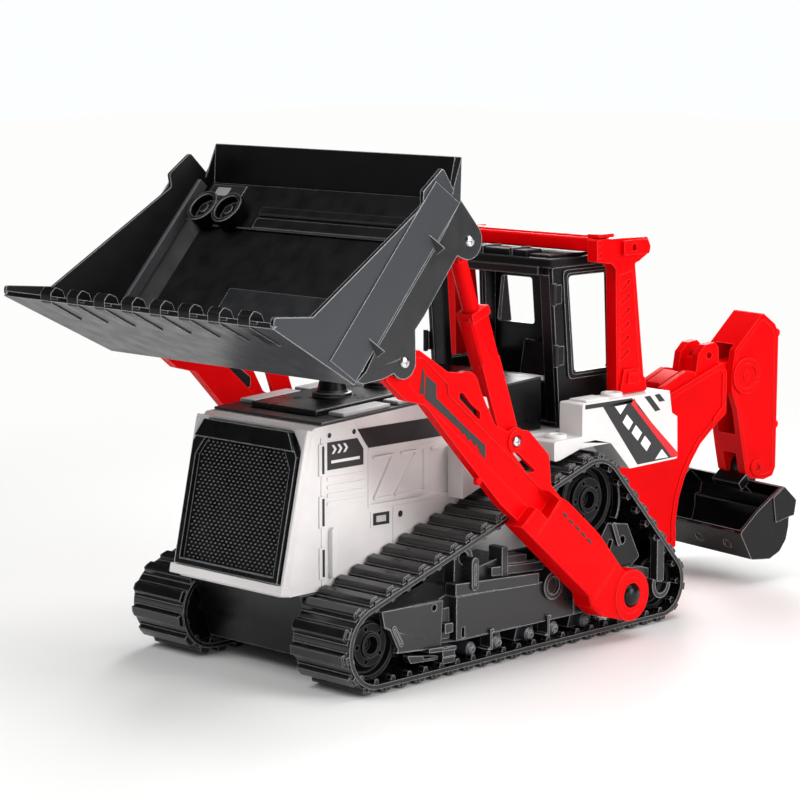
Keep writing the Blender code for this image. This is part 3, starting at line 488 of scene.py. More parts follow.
def soft_boxes():
    """Area lights, all turned to the middle of the model."""
    aim = Vector((0.0, -0.02, 0.12))
    boxes = (  # name, place, width, height, power
        ("key_softbox", (-0.35, -1.1, 1.25), 0.9, 0.9, 14),
        ("side_softbox", (1.35, 0.35, 0.65), 0.8, 0.9, 16),
        ("rear_strip", (-0.9, 1.1, 0.9), 0.35, 1.4, 12),
        ("top_softbox", (0.15, 0.25, 1.5), 1.1, 1.1, 14),
        ("low_fill", (1.25, -0.85, 0.35), 0.9, 0.5, 4),
    )
    for name, at, width, height, power in boxes:
        lamp = bpy.data.lights.new(name, "AREA")
        lamp.shape = "RECTANGLE"
        lamp.size = width
        lamp.size_y = height
        lamp.energy = power
        light = bpy.data.objects.new(name, lamp)
        bpy.context.scene.collection.objects.link(light)
        light.location = at
        light.rotation_euler = (aim - Vector(at)).to_track_quat("-Z", "Y").to_euler()


def studio():
    """Backdrop, floor, lights and the camera."""
    scene = bpy.context.scene
    scene.view_settings.view_transform = "Standard"
    backdrop()
    paper_floor()
    soft_boxes()
    lens = bpy.data.cameras.new("camera")
    lens.lens = 119.8
    lens.sensor_width = 36.0
    camera = bpy.data.objects.new("camera", lens)
    scene.collection.objects.link(camera)
    camera.location = place(1086.3, -997.7, 372.5)
    camera.rotation_euler = (math.radians(90 - 8.47), 0, math.radians(44.52))
    scene.camera = camera


# ---------------------------------------------------------------- front body

HOOD_LOW = (-28.8, 51.3)
HOOD_TOP = (-8.8, 141.6)
COWL = (138.0, 121.0)     # where the black rear cowl starts, and its lower edge
LEAN = math.atan2(HOOD_TOP[0] - HOOD_LOW[0], HOOD_TOP[1] - HOOD_LOW[1])


def hood_top(y):
    """Height of the hood's top, which rises to the rear."""
    return HOOD_TOP[1] + 1.2 + 0.053 * (y - HOOD_TOP[0])


def round_edges(obj, chosen, width, segments=3):
    """Bevel only the edges that a test on their two ends picks, in design numbers."""
    work = bmesh.new()
    work.from_mesh(obj.data)

    def plain(vertex):
        x, y, z = vertex.co / MM
        return x, y - IDLER_Y, z

    picked = [e for e in work.edges if chosen(plain(e.verts[0]), plain(e.verts[1]))]
    bmesh.ops.bevel(work, geom=picked, offset=width * MM, segments=segments, affect="EDGES", profile=0.5)
    work.to_mesh(obj.data)
    work.free()
    return obj


def hood():
    """White engine cover with its panel, seams, ribs and grooves."""
    end = 181.5
    top = hood_top(end)
    outline = [HOOD_LOW, (end, HOOD_LOW[1]), (end, COWL[1] - 0.4), (COWL[0], COWL[1] - 0.4),
               (COWL[0], hood_top(COWL[0])), (HOOD_TOP[0] + 4, hood_top(HOOD_TOP[0])), HOOD_TOP]
    shell = slab("hood_skin", outline, -HULL, HULL)
    cowl = [(COWL[0] + 0.4, COWL[1]), (end, COWL[1]), (end, top), (COWL[0] + 0.4, hood_top(COWL[0]))]
    finish(slab("hood_rear_cowl", cowl, -HULL, HULL), BLACK, "machine", 1.2)

    def front_corner(a, b):
        return abs(a[1] - b[1]) > 15 and a[1] < 0 and b[1] < 0 and abs(a[0] - b[0]) < 1

    round_edges(shell, front_corner, 4.2, 3)
    inner = slab("inner", [(-25, 40), (178, 40), (178, COWL[1] - 3), (COWL[0] - 3, COWL[1] - 3),
                           (COWL[0] - 3, hood_top(COWL[0]) - 3), (-5, 139.5)], 3 - HULL, HULL - 3)
    cuts = [inner]
    for side, _ in SIDES:
        def groove(outline_points, depth=0.6):
            cuts.append(slab("groove", outline_points, *span(side, HULL - depth, HULL + 2)))

        groove([(36.6, 94.4), (132, 93.2), (132, 117.0), (118, 124.6), (36.6, 124.6)], 1.9)
        groove(stroke((-1.0, 53), (-1.0, 137), 0.7))
        groove(stroke((24.8, 143), (35.4, 127.0), 0.8))
        groove(stroke((35.4, 127.5), (35.4, 92.2), 0.8))
        groove(stroke((35.4, 92.2), (179, 90.6), 0.7))
        groove(stroke((55.2, 91.2), (55.2, 60), 0.7))
        groove(stroke((-26, 58), (-9, 58), 0.4), 0.3)
    shell = carve(shell, *cuts)
    finish(shell, WHITE, "machine", 0.45, ["hood_shell"])

    for side, word in SIDES:
        def on_side(name, points, material, low=-0.1, high=0.5, edge=0.2, holes=()):
            plate = slab(f"{word}_{name}", points, *span(side, HULL + low, HULL + high), holes=holes)
            return finish(plate, material, "machine", edge)

        ribs = (
            ((40.8, 120.6), (56.5, 120.6)), ((56.5, 120.6), (41.6, 97.2)), ((41.6, 97.0), (56.6, 97.0)),
            ((62.8, 120.6), (75.6, 120.6)), ((75.6, 120.6), (58.2, 97.2)), ((58.2, 97.0), (81.8, 97.0)),
            ((82.0, 120.6), (82.0, 97.0)), ((88.0, 120.6), (97.0, 120.6)),
        )
        ribs = [slab("rib", stroke(a, b, 1.3), *span(side, HULL - 2.1, HULL - 0.3)) for a, b in ribs]
        finish(merged(f"{word}_panel_ribs", ribs), WHITE, "machine", 0.3)
        on_side("dark_side_stripe", [(27.4, 138.6), (136.5, 138.6), (136.5, 127.0), (36.0, 127.0)],
                PRINT_DARK, -0.4, 0.35, 0.12)
        louvres = [slab("louvre", capsule((4.4, z), (31.4, z - 0.2), 2.3),
                        *span(side, HULL - 0.5, HULL + 0.7)) for z in (113.4, 108.7, 104.0, 99.3)]
        finish(merged(f"{word}_louvre_ribs", louvres), WHITE, "machine", 0.5)
        on_side("chevron_panel", [(3.9, 133.7), (27.0, 133.7), (31.7, 127.2), (31.7, 118.2), (3.9, 118.2)],
                PRINT_DARK, -0.2, 0.3, 0.1)
        for number in range(3):
            y = 7.0 + 4.4 * number
            chevron = [(y, 132.0), (y + 1.7, 132.0), (y + 3.7, 129.5), (y + 1.7, 127.0), (y, 127.0),
                       (y + 2.0, 129.5)]
            on_side(f"chevron_{number + 1}", chevron, PRINT_WHITE, 0.2, 0.45, 0.0)
        on_side("panel_bar", rect(6.6, 123.4, 28.6, 121.8), PRINT_WHITE, 0.2, 0.45, 0.0)
        for number, z in enumerate((124.5, 95.3, 66.7)):
            on_side(f"hinge_leaf_{number + 1}", rect(-3.0, z - 8.9, 1.6, z + 8.9), WHITE, -0.3, 1.0, 0.35)
            on_side(f"hinge_slot_{number + 1}", rect(-1.0, z - 7.7, 0.7, z + 7.7), PRINT_DARK, 0.5, 1.15, 0.1)
        on_side("door_handle", capsule((6.6, 59.6), (6.6, 84.4), 3.6), WHITE, -0.2, 3.0, 0.9)
        on_side("port_frame", [(37.2, 90.4), (52.9, 90.2), (52.9, 80.9), (37.2, 81.3)], WHITE, -0.3, 0.5)
        on_side("port_rim", [(38.9, 89.3), (51.6, 89.1), (51.6, 82.0), (38.9, 82.4)], PRINT_DARK, 0.2, 0.9,
                0.15, [[(41.3, 87.6), (49.2, 87.4), (49.2, 83.8), (41.3, 84.0)]])
        on_side("port_window", [(41.3, 87.6), (49.2, 87.4), (49.2, 83.8), (41.3, 84.0)], PALE, 0.0, 0.6, 0.1)
        for number, (y, z, radius) in enumerate(((5.4, 137.6, 1.5), (24.4, 137.6, 1.5), (61.0, 86.2, 1.9))):
            # Flat dark discs in the screw holes: painted shade of the holes' depth.
            on_side(f"screw_well_{number + 1}", ring((y, z), radius), PRINT_DARK, -0.3, 0.25, 0.1)
            on_side(f"screw_lip_{number + 1}", ring((y, z), radius + 0.8), WHITE, -0.3, 0.35, 0.2,
                    [ring((y, z), radius)])


def leaned(obj):
    """Lean a piece built upright at the hood's front so that it lies on the sloping face."""
    pivot = place(0, *HOOD_LOW)
    obj.data.transform(Matrix.Translation(pivot) @ Matrix.Rotation(-LEAN, 4, "X")
                       @ Matrix.Translation(-pivot))
    return obj


def grille():
    """Radiator grille: chamfered frame, overhanging lip and its raised wire mesh."""
    y, z = HOOD_LOW
    half, low, high = 42.6, z + 7, z + 90
    frame_outline = [(-half, low), (half, low), (half, high - 13), (half - 8, high), (8 - half, high),
                     (-half, high - 13)]
    opening = [(-38.8, low + 3.2), (38.8, low + 3.2), (38.8, high - 20), (32, high - 9), (-32, high - 9),
               (-38.8, high - 20)]
    surround = slab("grille_surround", frame_outline, y - 5.2, y - 0.2, "Y")
    surround = carve(surround, slab("opening", opening, y - 9, y - 2.0, "Y"))
    brow = slab("brow", [(2.0 - half, high - 10), (half - 2.0, high - 10), (half - 8, high + 0.3),
                         (8 - half, high + 0.3)], y - 6.6, y - 0.3, "Y")
    surround = fuse(surround, brow)
    finish(leaned(surround), BLACK, "machine", 0.7, ["grille"])

    work = bmesh.new()
    row, z_at = 0, low + 5.0
    while z_at < high - 11.5:
        limit = 37.8 if z_at < high - 21 else 37.8 - (z_at - high + 21) * 0.55
        x_at = -37.8 + (1.8 if row % 2 else 0.0)
        while x_at < limit:
            if x_at > -limit:
                spot = (Matrix.Translation((x_at, y - 2.0, z_at)) @ Matrix.Rotation(-0.5, 4, "Y")
                        @ Matrix.Diagonal((0.85, 0.8, 0.48, 1)))
                bmesh.ops.create_icosphere(work, subdivisions=1, radius=1.0, matrix=spot)
            x_at += 3.6
        z_at += 2.0
        row += 1
    mesh = new_object("grille_mesh", work)
    # The mesh bumps are coloured grey as painted highlights.
    finish(leaned(mesh), DOT_HIGHLIGHT_GREY, "machine", 0)
    mesh.data.shade_smooth()

    bar = slab("hood_front_bar", rect(-46.8, z + 0.9, 46.8, z + 6.6), y - 4.6, y + 3, "Y")
    finish(leaned(bar), WHITE, "machine", 0.9)
    for side, word in SIDES:
        cheek = slab(f"{word}_hood_front_post", rect(side * 43.0, z + 6, side * 45.8, z + 91), y - 3.0,
                     y + 1.5, "Y")
        finish(leaned(cheek), WHITE, "machine", 0.9)
    cap = slab("hood_front_cap", [(-34.5, z + 91.2), (34.5, z + 91.2), (45.6, z + 79), (45.6, z + 92.5),
                                  (-45.6, z + 92.5), (-45.6, z + 79)], y - 2.6, y + 1.5, "Y")
    finish(leaned(cap), WHITE, "machine", 0.5)


def hood_roof():
    """Black top panel with its pale inlays, exhaust stack and filter cap."""
    def lid(name, x_low, x_high, start, finish_y, low, high, material, edge=0.4, replaces=()):
        outline = [(start, hood_top(start) + low), (finish_y, hood_top(finish_y) + low),
                   (finish_y, hood_top(finish_y) + high), (start, hood_top(start) + high)]
        return finish(slab(name, outline, x_low, x_high), material, "machine", edge, replaces)

    lid("hood_roof_panel", -44.7, 44.7, 0.5, 137, -0.1, 1.5, BLACK, 0.7, ["hood_top_cover"])
    lid("hood_roof_ridge", -27, 27, 13, 132, 1.3, 4.4, BLACK, 1.0)
    for side, word in SIDES:
        low, high = span(side, 30.0, 43.0)
        lid(f"{word}_roof_inlay", low, high, 19, 56, 1.3, 3.6, PALE, 0.9)
        lid(f"{word}_roof_inlay_rear", low, high, 62, 130, 1.3, 3.6, PALE, 0.9)
    base = hood_top(63) + 3.8
    profile = [(0, 19), (5.4, 19), (6.2, 18.6), (6.5, 17.5), (7.0, 11), (8.6, 3.4), (9.6, 2.4), (11.2, 2.2),
               (11.5, 1.6), (11.5, 0), (0, 0)]
    finish(lathe("exhaust_stack_skin", profile, (0, 51.5, base), "Z"), BLACK, "machine", 0.2,
           ["exhaust_stack"])
    base = hood_top(99) + 3.8
    profile = [(0, 9.2), (3.9, 9.2), (4.8, 8.8), (5.2, 8.0), (5.2, 4), (6.4, 3.2), (8.6, 3.0), (9, 2.4),
               (9, 0), (0, 0)]
    finish(lathe("filter_cap_skin", profile, (0, 90, base), "Z"), BLACK, "machine", 0.2, ["air_filter_cap"])


# ---------------------------------------------------------------- front bucket

BUCKET = {"tip": (-96.6, 210.8), "bend": (-28.8, 174.4), "top": (52.3, 266.0), "flange": (55.0, 290.4)}
BACK_LENGTH = math.dist(BUCKET["bend"], BUCKET["top"])
BACK_UP = tuple((b - a) / BACK_LENGTH for a, b in zip(BUCKET["bend"], BUCKET["top"]))


def bucket_x(y, z):
    """Half width of the flared bucket at a point of its side, outside face."""
    (y0, z0), (uy, uz) = BUCKET["bend"], BACK_UP
    return 99.8 + 0.147 * max((z - z0) * uy - (y - y0) * uz, 0.0)


def on_back(up, out):
    """A (Y, Z) point counted up the bucket's back from its crease, and out of it into the bucket."""
    (y0, z0), (uy, uz) = BUCKET["bend"], BACK_UP
    return y0 + uy * up - uz * out, z0 + uz * up + uy * out


def on_bucket_side(name, side, outline, low, high):
    """A slab that follows the bucket's flared side, its thickness counted from the outside face."""
    obj = slab(name, outline, low, high)
    for vertex in obj.data.vertices:
        x, y, z = vertex.co / MM
        vertex.co.x = side * (bucket_x(y - IDLER_Y, z) + x) * MM
    if side < 0:
        obj.data.flip_normals()
    return obj


def loader_bucket():
    """Folded bucket shell with its ears, gussets, claws, ridges, step and tube bosses."""
    rim = rounded([(-96.6, 210.8), (-95.9, 216.6), (-65.9, 214), (0.1, 254.3), (19.5, 266.3), (18.8, 274.0),
                   (34.5, 285.6), (46.5, 272.0)], 2.0, 3)
    rim = [p for p in rim if math.dist(p, BUCKET["tip"]) > 0.5]
    work = bmesh.new()
    rows = {key: [work.verts.new((s * bucket_x(y, z), y, z)) for s in (-1, 1)] for key,
            (y, z) in BUCKET.items()}
    for index, s in enumerate((-1, 1)):
        rows["flange"][index].co.x = s * 98.0
    for a, b in (("tip", "bend"), ("bend", "top"), ("top", "flange")):
        work.faces.new((rows[a][0], rows[a][1], rows[b][1], rows[b][0]))
    for index, s in enumerate((-1, 1)):
        points = [work.verts.new((s * bucket_x(y, z), y, z)) for y, z in rim]
        work.faces.new([rows["tip"][index], *points, rows["top"][index], rows["bend"][index]])
        work.faces.new((rows["top"][index], points[-1], rows["flange"][index]))
    shell = new_object("bucket_shell", work)
    wall = shell.modifiers.new("Wall", "SOLIDIFY")
    wall.thickness = 2.4 * MM
    wall.offset = 1.0
    wall.use_even_offset = True
    # The bucket's inside faces take the darker copy of its plastic, which is painted shade; the slate is its
    # own colour.
    wall.material_offset = 1
    shell.data.materials.append(INSIDE_SHADE)
    shell.data.materials.append(SLATE)
    finish(bake(shell), SLATE, "front_bucket", 0.6, ["front_bucket"])

    ear = [(52.3, 267.4), (38, 249), (-12, 192.5), (-20, 181), (-27, 176.0), (-22.3, 174.3), (-7.4, 175.5),
           *arc(BUCKET_PIVOT, 9.2, 215, 350, 12), (17, 199.7), (24.1, 206.8), (49.4, 237.2),
           *arc(ROD_PIN, 10.4, 250, 400, 14)]
    for side, word in SIDES:
        holes = [ring(BUCKET_PIVOT, 2.4, 20), ring(ROD_PIN, 2.4, 20)]
        plate = slab(f"{word}_bucket_ear", ear, *span(side, 97.4, 100), holes=holes)
        finish(plate, FRAME, "front_bucket", 0.6)
        strip = [on_back(1.5, 1.0), on_back(BACK_LENGTH - 1, 1.0), on_back(BACK_LENGTH - 6, 26.5),
                 on_back(-3, 26.5)]
        finish(on_bucket_side(f"{word}_bucket_fold", side, strip, -0.3, 0.7), SLATE, "front_bucket", 0.3)
        for number, up in enumerate((24.0, 93.0)):
            work = bmesh.new()
            a, b, c, d = on_back(up - 3.4,
                                 -4.5), on_back(up + 3.4, -4.5), on_back(up, 13.0), on_back(up, -2.0)
            points = [work.verts.new((side * 99.4, *a)), work.verts.new((side * 99.4, *b)),
                      work.verts.new((side * 101.0, *c)), work.verts.new((side * 105.6, *d))]
            for face in ((0, 1, 2), (0, 1, 3), (1, 2, 3), (2, 0, 3)):
                work.faces.new([points[i] for i in face])
            finish(new_object(f"{word}_bucket_gusset_{number + 1}", work), FRAME, "front_bucket", 0.4)
        rib = [on_back(8, 6.5), on_back(BACK_LENGTH - 6, 6.5), on_back(BACK_LENGTH - 6, 13.5),
               on_back(8, 13.5)]
        finish(slab(f"{word}_bucket_inner_rib", rib, *span(side, 96.6, 99.5)), RIB, "front_bucket", 0.5)
        corner = [(side * 84.5, 0.0), (side * 99.0, 0.0), (side * 99.0, 6.0)]
        work = bmesh.new()
        loops = []
        for up in (2.0, BACK_LENGTH - 30):
            loops.append([work.verts.new((x, *on_back(up, out + 2.0))) for x, out in corner])
        work.faces.new(loops[0])
        work.faces.new(loops[1][::-1])
        for i in range(3):
            work.faces.new((loops[0][i - 1], loops[0][i], loops[1][i], loops[1][i - 1]))
        finish(new_object(f"{word}_bucket_corner", work), INSIDE_SHADE, "front_bucket", 0.3)

    claw = rounded([(-75.2, 199.6), (-75.4, 198.5), (-96.5, 209.9), (-96.5, 215.4), (-93.2, 218.6),
                    (-88.2, 216.4), (-85.0, 209.0)], 2.2, 4)
    for number in range(8):
        middle = -73.0 + 23.1 * number
        piece = slab(f"bucket_claw_{number + 1}", claw, middle - 4.6, middle + 4.6)
        finish(piece, BLACK, "front_bucket", 0.6)
        web = [(-86.5, 206.6), (-96.2, 211.9), (-96.0, 213.9), (-86.0, 208.6)]
        finish(slab(f"bucket_lip_web_{number + 1}", web, middle + 4.4, middle + 10.0), BLACK,
               "front_bucket", 0.4)

    def raised(name, x_low, x_high, up_low, up_high, out_low, out_high, material=INSIDE_SHADE, edge=0.7):
        outline = [on_back(up_low, out_low), on_back(up_high, out_low), on_back(up_high, out_high),
                   on_back(up_low, out_high)]
        return finish(slab(name, outline, x_low, x_high), material, "front_bucket", edge)

    raised("bucket_back_upper", -97, 97, 90, BACK_LENGTH - 1, 1.5, 4.6)
    raised("bucket_back_ridge", -41, 92, 99.0, 105.5, 4.0, 6.6, INSIDE_SHADE, 1.2)
    raised("bucket_back_ridge_step", -41, 92, 90.5, 98.0, 4.0, 5.4, INSIDE_SHADE, 0.6)
    raised("bucket_step", -27, 96, 1, 48, 1.5, 6.5, FRAME, 0.8)
    raised("bucket_hatch", -93, -64, 108, 119, 4.4, 6.0, FRAME, 0.6)
    raised("bucket_hatch_lens", -87, -76, 110.5, 116.5, 5.8, 6.6, GREY, 0.3)
    normal_turn = Matrix.Rotation(math.atan2(BACK_UP[1], BACK_UP[0]), 4, "X")
    for number, x in enumerate((-82.6, -61.6)):
        profile = [(10.6, 0), (10.6, 9.0), (8.0, 9.0), (8.0, 3.0), (3.4, 3.0), (3.4, 7.0), (0, 7.0)]
        tube = lathe(f"bucket_tube_boss_{number + 1}", profile, (0, 0, 0), "Z")
        tube.data.transform(Matrix.Translation(place(x, *on_back(98, 4.2))) @ normal_turn
                            @ Matrix.Translation(-place(0, 0, 0)))
        finish(tube, INSIDE_SHADE, "front_bucket", 0.6)


# ---------------------------------------------------------------- loader arms and cylinders

def screw_head(name, at, side, body, replaces=(), radius=3.3, length=1.9):
    """Pan head with a cross recess, its shank towards the middle."""
    profile = [(0, length), (radius * 0.55, length * 0.93), (radius * 0.86, length * 0.62), (radius, 0.3),
               (radius, -0.2), (1.9, -0.2), (1.9, -5.5), (0, -5.5)]
    head = lathe(name, profile, at, "X", side, 40)
    x, y, z = at
    low, high = span(side, 0.7, 3.0)
    cross = [block("cut", (x + low, y - 0.42, z - 1.75), (x + high, y + 0.42, z + 1.75)),
             block("cut", (x + low, y - 1.75, z - 0.42), (x + high, y + 1.75, z + 0.42))]
    return finish(carve(head, *cross), STEEL, body, 0.15, replaces)


def loader_arm(side, word):
    """One loader arm: slotted plate, box-section foot, boss, decals, cap and screws."""
    plate = rounded([(23.1, 188), (8, 188.5), (0, 186), (-2.1, 173.6), (13.1, 161.3), (27.8, 157.5),
                     (53.2, 131), (89.3, 94.1), (107.9, 79.5), (128, 62), (150, 84), (140, 92),
                     (131.7, 100), (129.7, 117.7), (112, 134), *arc((101, 129.1), 8, 45, 135, 5), (84, 140),
                     (72.4, 160), *arc((60, 162), 11, 10, 110, 6), (45.8, 173.8)], 3.0, 4)
    slot = rounded([(98.3, 123), (102, 123), (119, 109.6), (111, 109.6)], 1.2, 3)
    hump = rounded([(54.9, 158.1), (71.6, 143.9), (71.6, 149), (64.7, 154), (57.9, 161.1), (54.9, 161.5)],
                   1.0, 3)
    arm = slab(f"{word}_arm_skin", plate, *span(side, 94.0, 97.0),
               holes=[slot, hump, ring(CYLINDER_PIN, 2.4, 20), ring(BUCKET_PIVOT, 2.4, 20)])
    rib = [(18, 184), (8, 186), (0, 184), (-2.1, 173.6), (13.1, 161.3), (27.8, 157.5), (53.2, 131),
           (89.3, 94.1), (107.9, 79.5), (128, 62), (150, 84), (140, 90), (110, 107.5), (42, 167.5)]
    inner = slab("rib", rib, *span(side, 90.9, 94.3))
    lower = slab("lower", [(99.6, 80.8), (131.8, 53.9), (158.2, 32.1), (160.7, 24.6), (170.5, 17.5),
                           (196, 10.8), (205, 30), (187.2, 45.5), (166.9, 68.2), (139.1, 90.8),
                           (122.6, 99.1)], *span(side, 90.6, 104.0))
    round_edges(lower, lambda a, b: min(abs(a[0]), abs(b[0])) > 103.5, 1.6, 3)
    boss = drum("boss", (side * 97.75, *ARM_PIVOT), "X", 15.7, 14.1, 64)
    round_edges(boss, lambda a, b: min(abs(a[0]), abs(b[0])) > 104.4, 2.0, 4)
    arm = fuse(arm, inner, lower, boss)
    recess = [(16.5, 168.8), (20.5, 184), (25.9, 183.4), (45.4, 167.2), (46.3, 161.0), (131.0, 92.4),
              (121.0, 82.6)]
    cutters = [
        slab("recess", recess, *span(side, 96.1, 110)),
        drum("bore", (side * 98, *ARM_PIVOT), "X", 7.4, 30, 48),
        drum("seat", (side * 89.6, *BUCKET_PIVOT), "X", 3.9, 6.2, 24),
        drum("hole", (side * 95, *BUCKET_PIVOT), "X", 2.4, 20, 24),
        slab("groove", stroke((172, 68), (188, 50), 1.0), *span(side, 103.2, 110)),
        slab("groove", stroke((163, 30), (182, 47), 1.4), *span(side, 103.4, 110)),
        slab("groove", stroke((112, 74), (133, 92), 0.8), *span(side, 103.4, 110)),
    ]
    arm = carve(arm, *cutters)
    finish(arm, RED, "loader_arms", 0.7, [f"{word}_loader_arm"], 3)

    def decal(name, outline, material, face=96.1, lift=0.25):
        finish(slab(f"{word}_{name}", outline, *span(side, face - 0.2, face + lift)), material,
               "loader_arms", 0.08)

    decal("arm_stripe", [(29.5, 173.6), (37.6, 167.7), (37.3, 160.5), (57.4, 144.2), (77, 129.5),
                         (77, 121.7), (71.8, 126.2), (69.9, 131.2), (68, 129.7), (64.9, 134.4),
                         (62.4, 133.8), (59.9, 138.4), (58.1, 137.7), (56.2, 140.5), (28.3, 161.1)],
          PRINT_DARK)
    # A black plate at the bottom of the arm's slot: painted shade of the slot's depth.
    finish(slab(f"{word}_arm_slot_shade_plate", inset(hump, -1.6), *span(side, 93.2, 94.4)), BLACK, "loader_arms",
           0.1)
    decal("arm_stripe_short", [(26.5, 177.8), (28.3, 175.1), (27.9, 163), (24.1, 164.2)], PRINT_DARK)
    for number in range(5):
        a, b = 134.0 + 5.4 * number, 84.6 - 4.6 * number
        decal(f"arm_box_tick_{number + 1}", stroke((a, b), (a + 3.6, b - 3.1), 1.5), PRINT_DARK, 104.0, 0.2)
    rim = slab(f"{word}_arm_boss_rim", ring(ARM_PIVOT, 15.2, 48), *span(side, 104.4, 105.0),
               holes=[ring(ARM_PIVOT, 10.5, 40)])
    finish(rim, RED, "loader_arms", 0.5)
    lug = lathe(f"{word}_arm_lug_rim", [(6.6, 0), (6.6, 1.2), (4.0, 1.2), (4.0, 0)],
                (side * 96.9, *CYLINDER_PIN), "X", side)
    finish(lug, RED, "loader_arms", 0.4)
    knob = lathe(f"{word}_arm_knob", [(0, 3.0), (1.6, 2.8), (2.3, 1.8), (2.3, 0), (0, 0)],
                 (side * 94.5, 71.0, 110.0), "X", side)
    finish(knob, RED, "loader_arms", 0.2)

    cap = lathe(f"{word}_arm_cap", [(0, 9.5), (3.2, 9.2), (5.3, 8.2), (6.6, 6.6), (7.0, 5.0), (7.0, -12.7),
                                    (0, -12.7)], (side * 98, *ARM_PIVOT), "X", side)
    finish(cap, BLACK, "machine", 0.2, [f"{word}_arm_pivot_pin"])
    screw_head(f"{word}_clevis_screw", (side * 97.3, *CYLINDER_PIN), side, "loader_arms",
               [f"{word}_cylinder_pin"], 3.1)
    screw_head(f"{word}_hinge_screw", (side * 100.3, *BUCKET_PIVOT), side, "loader_arms",
               [f"{word}_bucket_pivot_screw"])
    screw_head(f"{word}_rod_screw", (side * 100.3, *ROD_PIN), side, "front_bucket", [f"{word}_rod_end_screw"])


def cylinder(side, word):
    """Barrel and rod, built along the line from the clevis pin to the rod's pin."""
    dy, dz = ROD_PIN[0] - CYLINDER_PIN[0], ROD_PIN[1] - CYLINDER_PIN[1]
    length = math.hypot(dy, dz)
    uy, uz = dy / length, dz / length
    tilt = math.degrees(math.atan2(uz, uy))

    def at(distance, offset=0.0):
        return (CYLINDER_PIN[0] + uy * distance + uz * offset, CYLINDER_PIN[1] + uz * distance - uy * offset)

    def tube(name, radius, start, end, sides=40):
        obj = drum(name, (0, -IDLER_Y, 0), "Z", radius, end - start, sides)
        turn = Matrix.Rotation(math.atan2(-uy, uz), 4, "X")
        obj.data.transform(Matrix.Translation(place(side * 88.1, *at((start + end) / 2))) @ turn)
        return obj

    eye = [*arc(CYLINDER_PIN, 7.4, tilt + 90, tilt + 270, 14), at(50, 7.4), at(50, -7.4)]
    barrel = slab(f"{word}_barrel_skin", eye, *span(side, 90.6, 93.6))
    body = slab("body", [at(30, 8.0), at(30, -6.4), at(77, -7.4), at(77, 7.8)], *span(side, 82.6, 93.6))
    round_edges(body, lambda a, b: abs(a[0] - b[0]) < 0.1, 1.8, 3)
    collar = slab("collar", rounded([at(75.5, -6.6), at(75.5, 8.2), at(81, 8.2), at(81, -6.6)], 1.0, 2),
                  *span(side, 82.3, 94.4))
    barrel = fuse(barrel, body, collar)
    barrel = carve(barrel, tube("bore", 5.0, 31.2, 84),
                   drum("hole", (side * 92, *CYLINDER_PIN), "X", 2.4, 8, 24))
    finish(barrel, RED, f"{word}_barrel", 0.8, [f"{word}_cylinder_barrel"], 3)

    rod = tube(f"{word}_rod_skin", 4.7, 50.5, length - 4)
    head = slab("eye", [*arc(ROD_PIN, 7.0, tilt - 90, tilt + 90, 14), at(length - 12, -5.0),
                        at(length - 12, 5.0)], *span(side, 84.0, 93.4))
    finish(fuse(rod, head), RED, f"{word}_rod", 0.7, [f"{word}_cylinder_rod"], 3)


# ---------------------------------------------------------------- tracks

def belt_path(extra):
    """The belt's path round its wheels as dense (Y, Z) points."""
    wheels = [WHEELS["front_idler"], WHEELS["rear_idler"], WHEELS["drive_sprocket"]]
    points = []
    for i, (y, z, radius) in enumerate(wheels):
        before, after = wheels[i - 1], wheels[(i + 1) % 3]
        angles = []
        for (y0, z0, r0), (y1, z1, r1) in ((before, wheels[i]), (wheels[i], after)):
            heading = math.atan2(z1 - z0, y1 - y0)
            lean = math.asin((r1 - r0) / math.hypot(y1 - y0, z1 - z0))
            angles.append(math.degrees(heading - math.pi / 2 - lean))
        start, end = angles
        while end < start:
            end += 360
        points += arc((y, z), radius + extra, start, end, max(8, int((end - start) / 5)))
    return points


def along(points, distance):
    """Point and outward normal at a distance along a closed counter-clockwise path."""
    count = len(points)
    total = sum(math.dist(points[i - 1], points[i]) for i in range(count))
    distance %= total
    for i in range(count):
        (y0, z0), (y1, z1) = points[i], points[(i + 1) % count]
        length = math.hypot(y1 - y0, z1 - z0)
        if distance <= length:
            t = distance / length
            return (y0 + (y1 - y0) * t, z0 + (z1 - z0) * t), ((z1 - z0) / length, (y0 - y1) / length)
        distance -= length
    return points[0], (0, -1)


def prism(work, outline, low, high):
    """Add a prism along X to a bmesh."""
    rows = [[work.verts.new((x, *point)) for point in outline] for x in (low, high)]
    work.faces.new(rows[0])
    work.faces.new(rows[1][::-1])
    for i in range(len(outline)):
        work.faces.new((rows[0][i - 1], rows[0][i], rows[1][i], rows[1][i - 1]))


